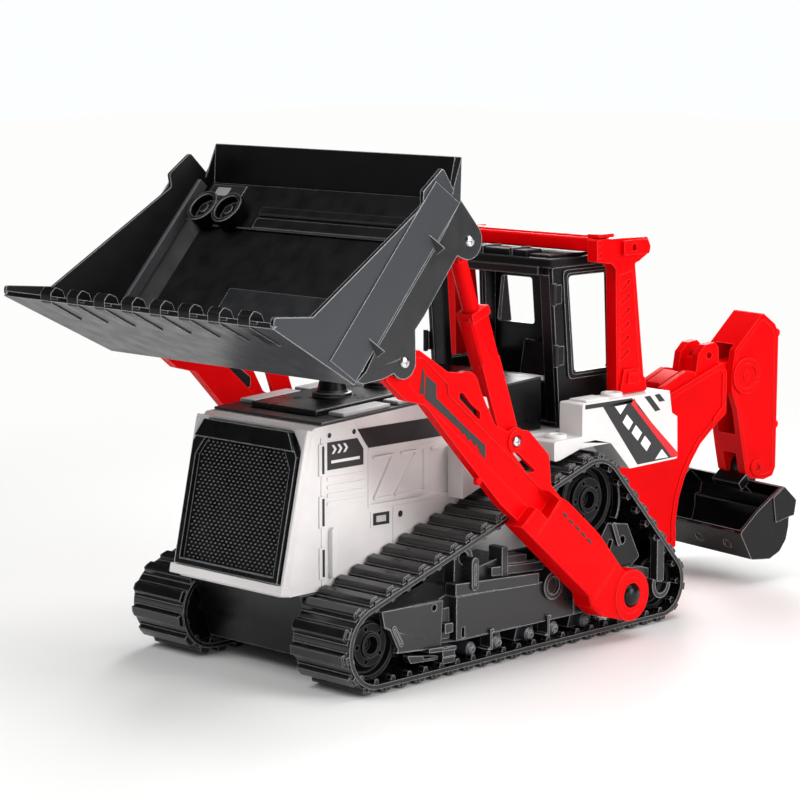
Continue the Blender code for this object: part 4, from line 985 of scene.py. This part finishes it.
def track_belt(side, word):
    """Belt band with its shoes, cleats and inner guide teeth."""
    path, count, lug = belt_path(0.0), 50, 3.5
    pitch = sum(math.dist(path[i - 1], path[i]) for i in range(len(path))) / count
    band = slab(f"{word}_belt_band", belt_path(0.0), *span(side, 45.6, 90.0),
                holes=[belt_path(-BELT_THICK)])
    finish(band, TRACK, "machine", 0.35, [f"{word}_track_belt"])
    lugs, shoes, teeth = bmesh.new(), bmesh.new(), bmesh.new()
    inner_path = belt_path(-BELT_THICK)
    scale = (sum(math.dist(inner_path[i - 1], inner_path[i])
                 for i in range(len(inner_path))) / (pitch * count))

    def lifted(middle, offsets):
        points = []
        for offset, height in offsets:
            (y, z), (ny, nz) = along(path, middle + offset)
            points.append((y + ny * height, z + nz * height))
        return points

    for i in range(count):
        middle = (i + 0.5) * pitch
        prism(lugs, lifted(middle, ((-3.9, -0.4), (-3.1, lug - 0.5), (-2.3, lug), (1.9, lug),
                                    (2.8, lug - 0.6), (4.4, -0.4))), *span(side, 46.4, 87.4))
        prism(shoes, lifted(middle, ((-4.9, -0.4), (-4.7, 1.0), (4.9, 1.0), (5.2, -0.4))),
              *span(side, 46.0, 88.6))
        prism(lugs, lifted(middle, ((-2.6, -0.4), (-2.2, 2.2), (1.6, 2.2), (2.4, -0.4))),
              *span(side, 87.0, 89.8))
        (y, z), (ny, nz) = along(inner_path, middle * scale)
        ty, tz = -nz, ny
        outline = [(y + ty * a - ny * b, z + tz * a - nz * b) for a,
                   b in ((-2.2, -0.3), (-1.1, 2.6), (1.1, 2.6), (2.2, -0.3))]
        prism(teeth, outline, *span(side, 83.6, 87.8))
        prism(teeth, outline, *span(side, 47.5, 51.7))
    for name, work, edge in (("belt_lugs", lugs, 0.55), ("belt_shoes", shoes, 0.3),
                             ("belt_guide_teeth", teeth, 0.3)):
        finish(new_object(f"{word}_{name}", work), TRACK, "machine", edge)


def wheel(side, word, part, hub, dish, holes):
    """A dished wheel turned in one piece, with a circle of small holes."""
    y, z, outer = WHEELS[part]
    radius = outer - BELT_THICK - 0.5
    profile = [(2.3, 9.0), (hub * 0.36, 9.0), (hub * 0.42, 14.2), (hub * 0.58, 14.6), (hub * 0.62, 13.0),
               (hub, 13.0), (hub + 0.6, 13.0 - dish * 0.5), (hub + 3.2, 13.0 - dish),
               (radius - 4.0, 13.0 - dish), (radius - 3.0, 12.6), (radius - 0.8, 13.0), (radius, 12.2),
               (radius, -13.0), (2.3, -13.0)]
    disc = lathe(f"{word}_{part}_skin", profile, (side * 69.0, y, z), "X", side, 72)
    cuts = []
    for i in range(holes):
        angle = 2 * math.pi * (i + 0.5) / holes
        spot = (side * 82.0, y + hub * 0.8 * math.cos(angle), z + hub * 0.8 * math.sin(angle))
        cuts.append(drum("hole", spot, "X", 1.35, 5.0, 16))
    finish(carve(disc, *cuts), WHEEL, f"{word}_{part}", 0.35, [f"{word}_{part}"])


def track_frame(side, word):
    """Side frame: core, stepped plates, strap, brackets, clips and the rear axle's block."""
    def plate(name, outline, low, high, radius=0.8, edge=0.45, holes=(), replaces=()):
        obj = slab(f"{word}_frame_{name}", rounded(outline, radius, 2), *span(side, low, high), holes=holes)
        return finish(obj, BLACK if "sprocket" in name else FRAME, "machine", edge, replaces)

    plate("core", [(25, 20), (70, 16.5), (190, 16.5), (221, 18), (221, 34), (205, 42), (196, 50), (168, 50),
                   (158, 44), (112, 60), (84, 56), (70, 47), (52, 42), (25, 38)], 56.5, 80.6,
          replaces=[f"{word}_track_frame"])
    plate("inner", rect(70, 24, 176, 40), 45.5, 57)
    plate("front_web", [(26, 22), (62, 20), (62, 38), (26, 37)], 80, 83)
    front = [(8.2, 35.0), (12.5, 33.0), (18.8, 20.8), (17.2, 19.2), (52.7, 16.5), (54.2, 43.8), (5.9, 44.6)]
    plate("front_plate", front, 82.6, 85.5, 0.9, 0.5, [ring((47.3, 40.2), 1.9, 16)])
    plate("front_slot_rim", capsule((15.2, 33.6), (20.6, 24.2), 3.4), 85.0, 86.1, 0.2, 0.3)
    plate("front_slot", capsule((15.4, 33.0), (20.4, 24.8), 1.6), 85.9, 86.3, 0.1, 0.1)
    plate("front_ledge", [(40.5, 15.8), (62.4, 14.2), (62.4, 16.8), (40.5, 18.4)], 80.0, 88.2)
    plate("front_block", [(52.5, 7.2), (62.4, 7.0), (62.4, 15), (52.5, 15.4)], 80.0, 87.0)
    plate("front_block_rib", [(52.5, 10.6), (62.4, 10.2), (62.4, 11.2), (52.5, 11.6)], 86.8, 87.6, 0.2, 0.2)
    plate("fin_low", [(27, 16), (52, 12.0), (52, 9.5), (30, 11.0)], 80.0, 84.0)
    plate("step_post", [(55.5, 24), (62.0, 24), (62.0, 29.5), (55.5, 29.8)], 80, 86.0)
    plate("main_plate", [(64.2, 18.2), (172.5, 17.0), (172.5, 39.0), (118, 42.2), (64.2, 43.6)], 80, 86.5,
          0.8, 0.6, [[(68.6, 19.6), (71.0, 19.5), (71.0, 25.4), (68.6, 25.5)]])
    plate("main_ledge", [(62.0, 44.0), (132, 40.8), (132, 47.4), (62.0, 51.6)], 80, 88.0, 0.8, 0.7)
    plate("shelf", [(96, 50), (140, 47.5), (140, 52.5), (96, 55.5)], 76, 84)
    plate("shelf_post", rect(104, 44, 109, 66), 74, 84.5)
    plate("shelf_bar", [(109, 55), (126, 54), (126, 59), (109, 60)], 74, 83.5)
    plate("boss_ring", ring((144.4, 38.0), 8.2, 28), 80, 88.4, 0.05, 0.7, [ring((144.4, 38.0), 5.2, 24)])
    plate("boss_plug", ring((144.4, 38.0), 5.0, 24), 80, 86.6, 0.05, 0.5)
    plate("seam", rect(163.6, 17.5, 164.6, 39), 86.2, 87.0, 0.1, 0.1)
    plate("rear_plate", [(174, 19), (216, 19), (226, 24), (226, 32), (216, 36), (174, 36)], 80, 85)
    plate("strap_arch", [*arc((74.5, 63.5), 7.4, 0, 180, 12), (66.5, 46), (82.5, 46)], 74, 82.0, 0.1, 0.6,
          [ring((74.5, 64.0), 3.6, 20)])
    plate("strap", capsule((76.6, 48.5), (76.6, 62.0), 5.6), 80, 89.4, 0.1, 0.6)
    plate("strap_slot", capsule((76.6, 49.6), (76.6, 60.5), 1.9), 89.2, 89.6, 0.1, 0.1)
    for number, y in enumerate((92.0, 141.0)):
        plate(f"clip_{number + 1}", [(y - 4.5, 9.5), (y - 1.2, 10.5), (y - 1.2, 21.0), (y + 1.6, 21.0),
                                     (y + 1.6, 19.4), (y + 0.4, 19.2), (y + 0.4, 9.0)], 80, 88.2, 0.4)
    for number, (y, width) in enumerate(((101.7, 9.0), (129.5, 9.0), (178.5, 11.0))):
        plate(f"skid_{number + 1}", [(y - width, 7.4), (y + width, 7.4), (y + width - 3, 16),
                                     (y - width + 3, 16)], 64.0, 79.0, 0.8)
    plate("cradle", [(68, 8.4), (74, 17.5), (186, 17.5), (190, 8.4)], 56.5, 62.8)
    plate("sprocket_bracket", [(187, 50), (199, 66.5), (217.5, 63.7), (229, 42), (214, 33), (187, 38)], 76,
          82.8, 1.2, 0.6, [ring((212.9, 54.4), 2.6, 20),
                           [(196, 46), (200.5, 56.5), (204, 55.5), (199.5, 45)]])
    plate("bracket_arm", stroke((203, 66), (209, 52), 3.2), 82.0, 84.2, 0.4)
    plate("rear_shelf", [(205, 30), (236, 28), (236, 34), (222, 38), (205, 38)], 78, 84.4)
    plate("rear_strap", rect(238.2, 25.5, 244.8, 51.5), 84.0, 89.4, 0.9, 0.7)
    plate("rear_hook", [*arc((243.4, 23.4), 8.6, 150, 360, 16), *arc((243.4, 23.4), 5.6, 360, 150, 14)],
          84.0, 88.6, 0.1, 0.5)
    guard = [*arc((184.5, 80.5), 24.0, 330, 400, 12), *arc((184.5, 80.5), 22.6, 400, 330, 12)]
    plate("sprocket_guard", guard, 79.5, 84.5, 0.05, 0.3)


def rollers(side, word):
    """Five stepped track rollers."""
    for number in range(1, 6):
        _, y, z = joint_at(f"{word}_roller_{number}_spin")
        profile = [(0, 11.2), (1.3, 11.2), (1.5, 10.6), (2.6, 10.6), (2.8, 9.8), (3.9, 9.2), (4.2, 8.4),
                   (4.2, -10), (1.5, -10), (1.5, -13.5), (0, -13.5)]
        finish(lathe(f"{word}_roller_skin_{number}", profile, (side * 73.5, y, z), "X", side, 32), SLATE,
               f"{word}_roller_{number}", 0.15, [f"{word}_roller_{number}"])


# ---------------------------------------------------------------- cab, arch and fenders

def cab():
    """Open cab: framed side windows, rear wall, dash, seat and ribbed roof."""
    floor, top, half, wall = 121.3, 218.0, 52.0, 3.0
    side_outline = rounded([(190.4, floor), (266, floor), (252, top), (182.3, top)], 1.5, 2)
    window = rounded([(200.6, 153.6), (236, 153.6), (233, 213.2), (194.4, 213.2)], 3.0, 4)
    frame_outer = rounded([(196.8, 150.2), (239.6, 150.2), (236.4, 216.2), (190.8, 216.2)], 4.0, 4)
    shells = []
    for side, word in SIDES:
        shells.append(slab("wall", side_outline, *span(side, half - wall, half), holes=[window]))
        ring_plate = slab(f"{word}_window_frame", frame_outer, *span(side, half - 0.4, half + 1.1),
                          holes=[window])
        finish(ring_plate, BLACK, "machine", 0.6)
        inner_lip = slab(f"{word}_window_seal",
                         rounded([(199.6, 152.6), (237, 152.6), (234, 214.2), (193.6, 214.2)], 3.4, 4),
                         *span(side, half - 1, half + 1.6),
                         holes=[rounded([(201.4, 154.4), (235.2, 154.4), (232.4, 212.4), (195.2, 212.4)],
                                        2.6, 4)])
        finish(inner_lip, BLACK, "machine", 0.25)
        for number, (y, z) in enumerate(((185.2, 202.3), (187.6, 165.5))):
            knuckle = slab(f"{word}_door_hinge_{number + 1}",
                           rounded(rect(y - 2.7, z - 5.8, y + 2.7, z + 5.8), 0.8, 2),
                           *span(side, half - 0.5, half + 3.0))
            finish(knuckle, BLACK, "machine", 0.6)
            pin = drum(f"{word}_door_hinge_pin_{number + 1}", (side * (half + 1.8), y - 3.2, z), "Z", 1.5,
                       13.5, 20)
            finish(pin, BLACK, "machine", 0.3)
        sill = slab(f"{word}_cab_sill", [(190.6, 121.6), (258, 121.6), (257, 126.0), (191, 126.0)],
                    *span(side, half - 0.4, half + 1.0))
        finish(sill, BLACK, "machine", 0.5)
    inner = half - wall
    rear = slab("rear", rect(-inner - 1, floor, inner + 1, top), 243, 246, "Y",
                [rounded([(-47.0, 174.0), (-15.5, 174.0), (-18.0, 203.0), (-43.5, 203.0)], 2.0, 3),
                 rounded(rect(9.0, 148.0, 48.0, 214.0), 2.0, 3)])
    base = block("floor", (-inner - 1, 190.6, floor), (inner + 1, 246, floor + wall))
    header = block("header", (-inner - 1, 182.8, top - 5), (inner + 1, 186.5, top))
    shell = merged("cab_frame_skin", [*shells, rear, base, header])
    finish(shell, BLACK, "machine", 0.6, ["cab_shell"])
    for side, word in SIDES:
        post = slab(f"{word}_cab_front_post", [(190.9, floor), (197.5, floor), (189.8, top - 1),
                                               (183, top - 1)], *span(side, 40.5, 49.5))
        finish(post, BLACK, "machine", 1.2)
    lower = slab("cab_dash", [(191.5, floor + 3), (204, floor + 3), (202, 150), (193.2, 148)], -41, 41)
    finish(lower, BLACK, "machine", 1.0)

    roof = block("roof", (-53.5, 179.5, 218.3), (53.5, 256, 223.3))
    round_edges(roof, lambda a, b: abs(a[2] - b[2]) > 3, 3.0, 3)
    roof.name = "cab_roof_skin"
    finish(roof, WHEEL, "machine", 1.0, ["cab_roof"], 3)
    finish(block("cab_roof_plate", (-47, 186, 223.0), (47, 252, 225.0)), WHEEL, "machine", 0.8)
    finish(block("cab_roof_hatch", (-42, 184, 222.4), (30, 199, 227.0)), WHEEL, "machine", 1.2)
    for number, x in enumerate((-30, -6, 18)):
        finish(block(f"cab_roof_bar_{number + 1}", (x - 1.4, 183.2, 223), (x + 1.4, 200, 228.0)), BLACK,
               "machine", 0.5)
    finish(block("cab_visor", (-44, 178.6, 213.2), (44, 183.4, 218.6)), BLACK, "machine", 0.8)

    seat = slab("seat_skin", rounded([(206, 124.6), (236, 124.6), (240, 165.5), (233, 165.5), (228, 140.6),
                                      (206, 141.6)], 2.5, 4), -15, 15)
    finish(seat, BLACK, "machine", 2.0, ["driver_seat"], 3)


def arch():
    """Red roll-over arch: slotted posts with brackets and feet, and the beam over the cab."""
    foot = 140.3
    post = rounded([(202, 234.5), (202, 221.0), (215, 219.6), (219.2, 216), (221.5, foot), (248, foot),
                    (246.5, 149), (237, 218.4), (241, 219.5), (249, 223.5), (248.8, 233.6)], 1.4, 3)
    for side, word in SIDES:
        plate = slab(f"{word}_arch_post", post, *span(side, 62.3, 70.0))
        cuts = [slab("slot", capsule((226.0 - 0.1 * i, 203.9 - 8.4 * i), (232.0 - 0.1 * i, 207.6 - 8.4 * i),
                                     2.6), *span(side, 68.2, 75)) for i in range(6)]
        cuts += [drum("dimple", (side * 70, y, z), "X", 1.7, 1.6, 20) for y,
                 z in ((203.9, 232.2), (204.7, 224.6))]
        panel = [(222.5, 212), (224.3, 146), (243.2, 146), (235.2, 214)]
        cuts.append(slab("panel", panel, *span(side, 69.6, 75)))
        finish(carve(plate, *cuts), RED, "machine", 0.6, ["rops_arch"], 3)
        bracket = slab(f"{word}_arch_bracket",
                       rounded([(224, 223.8), (247.5, 223.8), (248.6, 228), (246.0, 232.8), (224, 232.8)],
                               1.5, 3), *span(side, 66, 72.5), holes=[ring((233.4, 228.2), 2.3, 20)])
        finish(bracket, RED, "machine", 0.8)
        finish(block(f"{word}_arch_pad", (side * 59, 205, 235), (side * 69, 219, 237.3)), RED, "machine", 0.9)
        base = slab(f"{word}_arch_foot", rounded([(222.2, 140.4), (247.6, 140.4), (246, 148), (238, 155.0),
                                                  (226, 155.0)], 1.2, 2), *span(side, 66, 72.0))
        finish(base, RED, "machine", 0.7)
        slot = slab(f"{word}_arch_foot_tab", [(228, 146), (240, 146), (238, 152.5), (229.5, 152.5)],
                    *span(side, 71.8, 73.2))
        finish(slot, RED, "machine", 0.4)
    beam = block("arch_beam", (-63.3, 204, 226.6), (63.3, 221, 235.2))
    round_edges(beam, lambda a, b: abs(a[0] - b[0]) > 50, 1.6, 3)
    finish(beam, RED, "machine", 0.5)
    finish(block("arch_beam_ridge", (-57, 207.5, 235.0), (57, 217.5, 236.2)), RED, "machine", 0.5)


def fender(side, word):
    """White rear fender with its caps, pad and printed stripes."""
    outline = rounded([(153.5, 120.4), (153.5, 108.6), (158.6, 109), (177.2, 113.8), (204.5, 114),
                       (222.3, 96.3), (267.9, 97), (267.2, 123.1), (261.9, 125.9), (259.5, 140.0),
                       (178.4, 140.0), (178.4, 120.6)], 1.6, 3)
    hollow = [(180.8, 118), (206, 116.2), (223.4, 98.7), (265.5, 99.4), (265, 121.6), (259.8, 124.6),
              (257.5, 137.8), (180.8, 137.8)]
    shell = carve(slab(f"{word}_fender_skin", outline, *span(side, 62.3, 80.0)),
                  slab("hollow", hollow, *span(side, 58, 77.8)))
    finish(shell, WHITE, "machine", 0.9, [f"{word}_fender"], 3)
    for number, (y, z) in enumerate(((166.0, 120.2), (216.5, 139.8))):
        cap = lathe(f"{word}_fender_cap_{number + 1}",
                    [(6.6, 0), (6.6, 2.0), (6.0, 2.6), (3.6, 2.6), (3.0, 1.8), (0, 1.8)],
                    (side * 70.0, y, z), "Z")
        finish(cap, WHITE, "machine", 0.3)
    finish(block(f"{word}_fender_pad", (side * 64.5, 184, 139.6), (side * 78, 205, 141.4)), WHITE,
           "machine", 0.6)

    def decal(name, points, material, lift=0.22):
        finish(slab(f"{word}_fender_{name}", points, *span(side, 79.8, 80.0 + lift)), material, "machine",
               0.06)

    decal("top_bar", [(180.8, 139.2), (224, 138.9), (224, 136.2), (180.8, 136.6)], PRINT_DARK)
    decal("band", [(196.9, 136.4), (225.5, 138.1), (267.4, 98.2), (229.6, 97.8)], PRINT_DARK)
    decal("red_stripe", [(225.9, 138.4), (229.2, 133.0), (267.4, 101.0), (267.4, 98.2), (262.5, 98.0),
                         (222.5, 135.8)], PRINT_RED, 0.3)
    decal("triangle_high", [(207.4, 135.6), (218.7, 135.8), (212.8, 130.2)], PRINT_WHITE, 0.35)
    decal("triangle_low", [(246, 99), (252.4, 104.6), (258.6, 98.8)], PRINT_WHITE, 0.35)
    for number in range(3):
        y, z = 222.0 + 8.6 * number, 124.0 - 7.4 * number
        decal(f"mark_{number + 1}", [(y - 3.2, z + 5.6), (y + 2.6, z + 0.2), (y - 1.4, z - 4.2),
                                     (y - 7.2, z + 1.2)], PRINT_WHITE, 0.35)
    for number, points in enumerate((((235.2, 138.5), (240.6, 138.6), (250.7, 128.9), (245.9, 128.4)),
                                     ((245, 138.6), (249.6, 138.8), (255, 134), (249.7, 133.9)))):
        decal(f"slash_{number + 1}", points, PRINT_DARK)


# ---------------------------------------------------------------- backhoe

DIPPER_PIVOT = (SWING_Y + 135, 131.3)      # before the backhoe is swung
FOOT_PIVOT = (SWING_Y + 146.5, 69)


def part_of_boom(name, outline, low, high, edge=0.7, body="backhoe_boom", material=RED, holes=()):
    """A slab on the backhoe, its outline counted from the swing pin."""
    obj = slab(name, rounded(behind(outline), 1.0, 3), low, high, holes=[behind(h) for h in holes])
    return finish(swung(obj), material, body, edge)


BOOM_OUTLINE = [(14, 49), (40, 40), (66, 24), (75, 24.5), (74.6, 41), (77, 56), (81.7, 69.5), (88, 80.5),
                (95.1, 90.4), (109, 102.5), (117, 108.3), (117, 136), (112, 141.5), (68.1, 124.9),
                (40, 113.5), (14, 101)]


def boom():
    """Boom with its knuckle, tongue, raised rim, rails and lugs."""
    body = slab("boom_skin", rounded(behind(BOOM_OUTLINE), 1.5, 3), -14.2, 14.2)
    knuckle = drum("knuckle", (0, SWING_Y, 75.5), "Z", 6.9, 46, 40)
    neck = slab("neck", behind([(0, 57), (16, 55), (16, 96), (0, 94)]), -6, 6)
    tongue = slab("tongue", behind([(113, 113), *arc((135, 131.3), 12, 240, 420, 20), (113, 139.5)]), -7.8,
                  7.8)
    body = fuse(body, knuckle, neck, tongue)
    body = carve(body, drum("bore", (0, SWING_Y, 76), "Z", 3.3, 90, 24),
                 drum("bore", (0, *DIPPER_PIVOT), "X", 3.3, 40, 24))
    finish(swung(body), RED, "backhoe_boom", 0.9, ["boom"], 3)
    border = behind(BOOM_OUTLINE)
    for side, word in SIDES:
        rim = slab(f"{word}_boom_rim", rounded(border, 1.5, 3), *span(side, 13.8, 15.0),
                   holes=[rounded(inset(border, 3.4), 1.5, 3)])
        finish(swung(rim), RED, "backhoe_boom", 0.5)
        part_of_boom(f"{word}_boom_rail", [(58, 118), (93, 131), (91.5, 137.5), (84, 138.5), (64, 129.5),
                                           (59, 125)], *span(side, 8.6, 12.6), 0.8)
        part_of_boom(f"{word}_boom_lug", [(92, 130), (113, 137), (112.5, 152), (109, 155), (101, 154),
                                          (95, 148)], *span(side, 5.5, 11.5), 0.8,
                     holes=[ring((104.5, 147.0), 2.2, 20)])
        part_of_boom(f"{word}_boom_fillet", [(104, 99), (116.5, 108.6), (116.5, 116), (106, 106)],
                     *span(side, 12.0, 15.6), 0.8)
    part_of_boom("boom_spine", [(40, 110), (94, 131), (92, 136), (44, 116.5)], -8.8, 8.8, 0.8)
    part_of_boom("boom_lug_bridge", [(96, 132), (111, 137), (110, 146), (99, 145)], -6, 6, 0.6)
    part_of_boom("boom_rail_cap", [(66, 127), (84, 134.5), (82.5, 138), (67, 131)], -7, 7, 0.7)


DIPPER_OUTLINE = [(149.1, 172.0), (160.4, 163.7), (163.5, 157), (163.1, 67.9), (160.5, 62.5), (152.8, 60.6),
                  (141, 62.5), (136.7, 66.5), (133.3, 82.2), (128.5, 108.3), (123.2, 122), (122.6, 131),
                  (125.4, 149)]


def dipper():
    """Dipper with its two slots, sunk panels, bosses and knobs."""
    stick = slab("dipper_skin", rounded(behind(DIPPER_OUTLINE), 2.0, 4), -13.5, 13.5)
    slots = [block("slot", (-8.2, SWING_Y + 118, 92), (8.2, SWING_Y + 150.5, 152)),
             block("slot", (-6.2, SWING_Y + 130, 52), (6.2, SWING_Y + 160.5, 79)),
             drum("bore", (0, *DIPPER_PIVOT), "X", 3.3, 60, 24),
             drum("bore", (0, *FOOT_PIVOT), "X", 2.3, 60, 24)]
    border = behind(DIPPER_OUTLINE)
    for side, word in SIDES:
        slots.append(slab("panel", rounded(inset(border, 3.2), 2.0, 3), *span(side, 12.9, 16)))
    stick = carve(stick, *slots)
    finish(swung(stick), RED, "backhoe_dipper", 0.8, ["dipper"], 3)
    for side, word in SIDES:
        boss = lathe(f"{word}_dipper_boss", [(3.3, 0), (3.3, 1.0), (8.0, 1.0), (8.4, 2.2), (11.6, 2.2),
                                             (12.0, 1.6), (12.0, 0)], (side * 12.9, *DIPPER_PIVOT), "X",
                     side, 64)
        low, high = span(side, 13.95, 18)
        gap = block("gap", (low, SWING_Y + 141, 126.8), (high, SWING_Y + 150, 130.4))
        finish(swung(carve(boss, gap)), RED, "backhoe_dipper", 0.5)
        ear = lathe(f"{word}_dipper_foot_boss", [(2.3, 0), (2.3, 1.4), (5.4, 1.4), (5.8, 0.8), (5.8, 0)],
                    (side * 12.9, *FOOT_PIVOT), "X", side, 40)
        finish(swung(ear), RED, "backhoe_dipper", 0.3)
    for number, z in enumerate((157.4, 96.5)):
        for side, word in SIDES:
            low, high = span(side, 7, 12)
            knob = drum(f"{word}_dipper_knob_{number + 1}", ((low + high) / 2, SWING_Y + 163.6, z), "X",
                        3.1, 5, 28)
            finish(swung(knob), RED, "backhoe_dipper", 0.7)


def digging_bucket():
    """Rear bucket: hollow shell, hinge, cheeks, teeth and bracket."""
    outer = [(103.2, 34.9), (113.5, 16.4), (129.2, 15.2), (138, 19.2), (143.5, 26.6), (145.5, 35),
             (145.7, 41.6), (149.8, 41.8), (151.7, 52.2), (140.6, 62.4), (118.4, 47.9)]
    inner = [(104.6, 37.2), (114.6, 18.6), (129, 17.4), (136.5, 21), (141.3, 28), (143.3, 36),
             (143.4, 43.6), (147.8, 44), (149.3, 51.4), (139.8, 60.1), (130, 75), (100, 55)]
    skin = slab("digging_bucket_skin", rounded(behind(outer), 2.5, 4), -45.5, 45.5)
    cuts = [slab("hollow", rounded(behind(inner), 1.5, 3), -43.3, 43.3),
            drum("bore", (0, *FOOT_PIVOT), "X", 2.3, 30, 24)]
    cuts += [drum("socket", (x, SWING_Y + 107.2, 24.2), "Y", 3.4, 6.0, 24) for x in (-27, 0, 27)]
    hinge = slab("hinge", behind([(139.9, 59), (149.5, 50.5), (153, 60), *arc((146.5, 69), 6, 0, 180, 14)]),
                 -5.9, 5.9)
    skin = carve(fuse(carve(skin, cuts[0]), hinge), *cuts[1:])
    finish(swung(skin), BLACK, "backhoe_bucket", 0.6, ["rear_bucket"], 3)
    for side, word in SIDES:
        part_of_boom(f"{word}_digging_cheek_step", [(133.5, 38.6), (145.7, 41.6), (149.6, 42.0),
                                                    (151.3, 52.0), (140.6, 61.9), (131, 55.6)],
                     *span(side, 44.8, 46.4), 0.5, "backhoe_bucket", BLACK)
    for number, x in enumerate((-34, -11.5, 11.5, 34)):
        part_of_boom(f"digging_tooth_{number + 1}", [(103.5, 35.2), (112.8, 18.2), (115.0, 18.4),
                                                     (106.4, 36.4)], x - 4.5, x + 4.5, 0.6,
                     "backhoe_bucket", BLACK)
    part_of_boom("digging_bucket_bracket", [(134, 55), (141, 60.5), (138, 66), (131, 60)], -13, 13, 0.8,
                 "backhoe_bucket", BLACK)


# ---------------------------------------------------------------- CAD nodes that keep their shape

def keep(names, material, edge):
    """CAD nodes whose shape is right: a procedural material and rounded edges."""
    for name in names:
        node = frame["nodes"][name]
        node.data.materials.clear()
        node.data.materials.append(material)
        weld = node.modifiers.new("Weld", "WELD")
        weld.merge_threshold = 0.00001
        if edge:
            soften(node, edge)


def kept_nodes():
    """The CAD nodes that keep their own shape."""
    keep(["chassis_belly", "swing_bracket"], BLACK, 0.6)
    keep(["rear_body"], WHITE, 0.5)
    keep(["arm_cross_tube"], BLACK, 0.4)
    keep(["front_axle", "rear_axle", "drive_axle", "swing_pin"], STEEL, 0.2)
    keep(["dipper_pin", "rear_bucket_pin"], RED, 0.4)


studio()
hood()
grille()
hood_roof()
loader_bucket()
for SIDE, WORD in SIDES:
    loader_arm(SIDE, WORD)
    cylinder(SIDE, WORD)
    track_belt(SIDE, WORD)
    wheel(SIDE, WORD, "front_idler", 12.0, 3.5, 5)
    wheel(SIDE, WORD, "rear_idler", 9.0, 3.5, 0)
    wheel(SIDE, WORD, "drive_sprocket", 13.0, 5.0, 5)
    track_frame(SIDE, WORD)
    rollers(SIDE, WORD)
    fender(SIDE, WORD)
cab()
arch()
boom()
dipper()
digging_bucket()
kept_nodes()
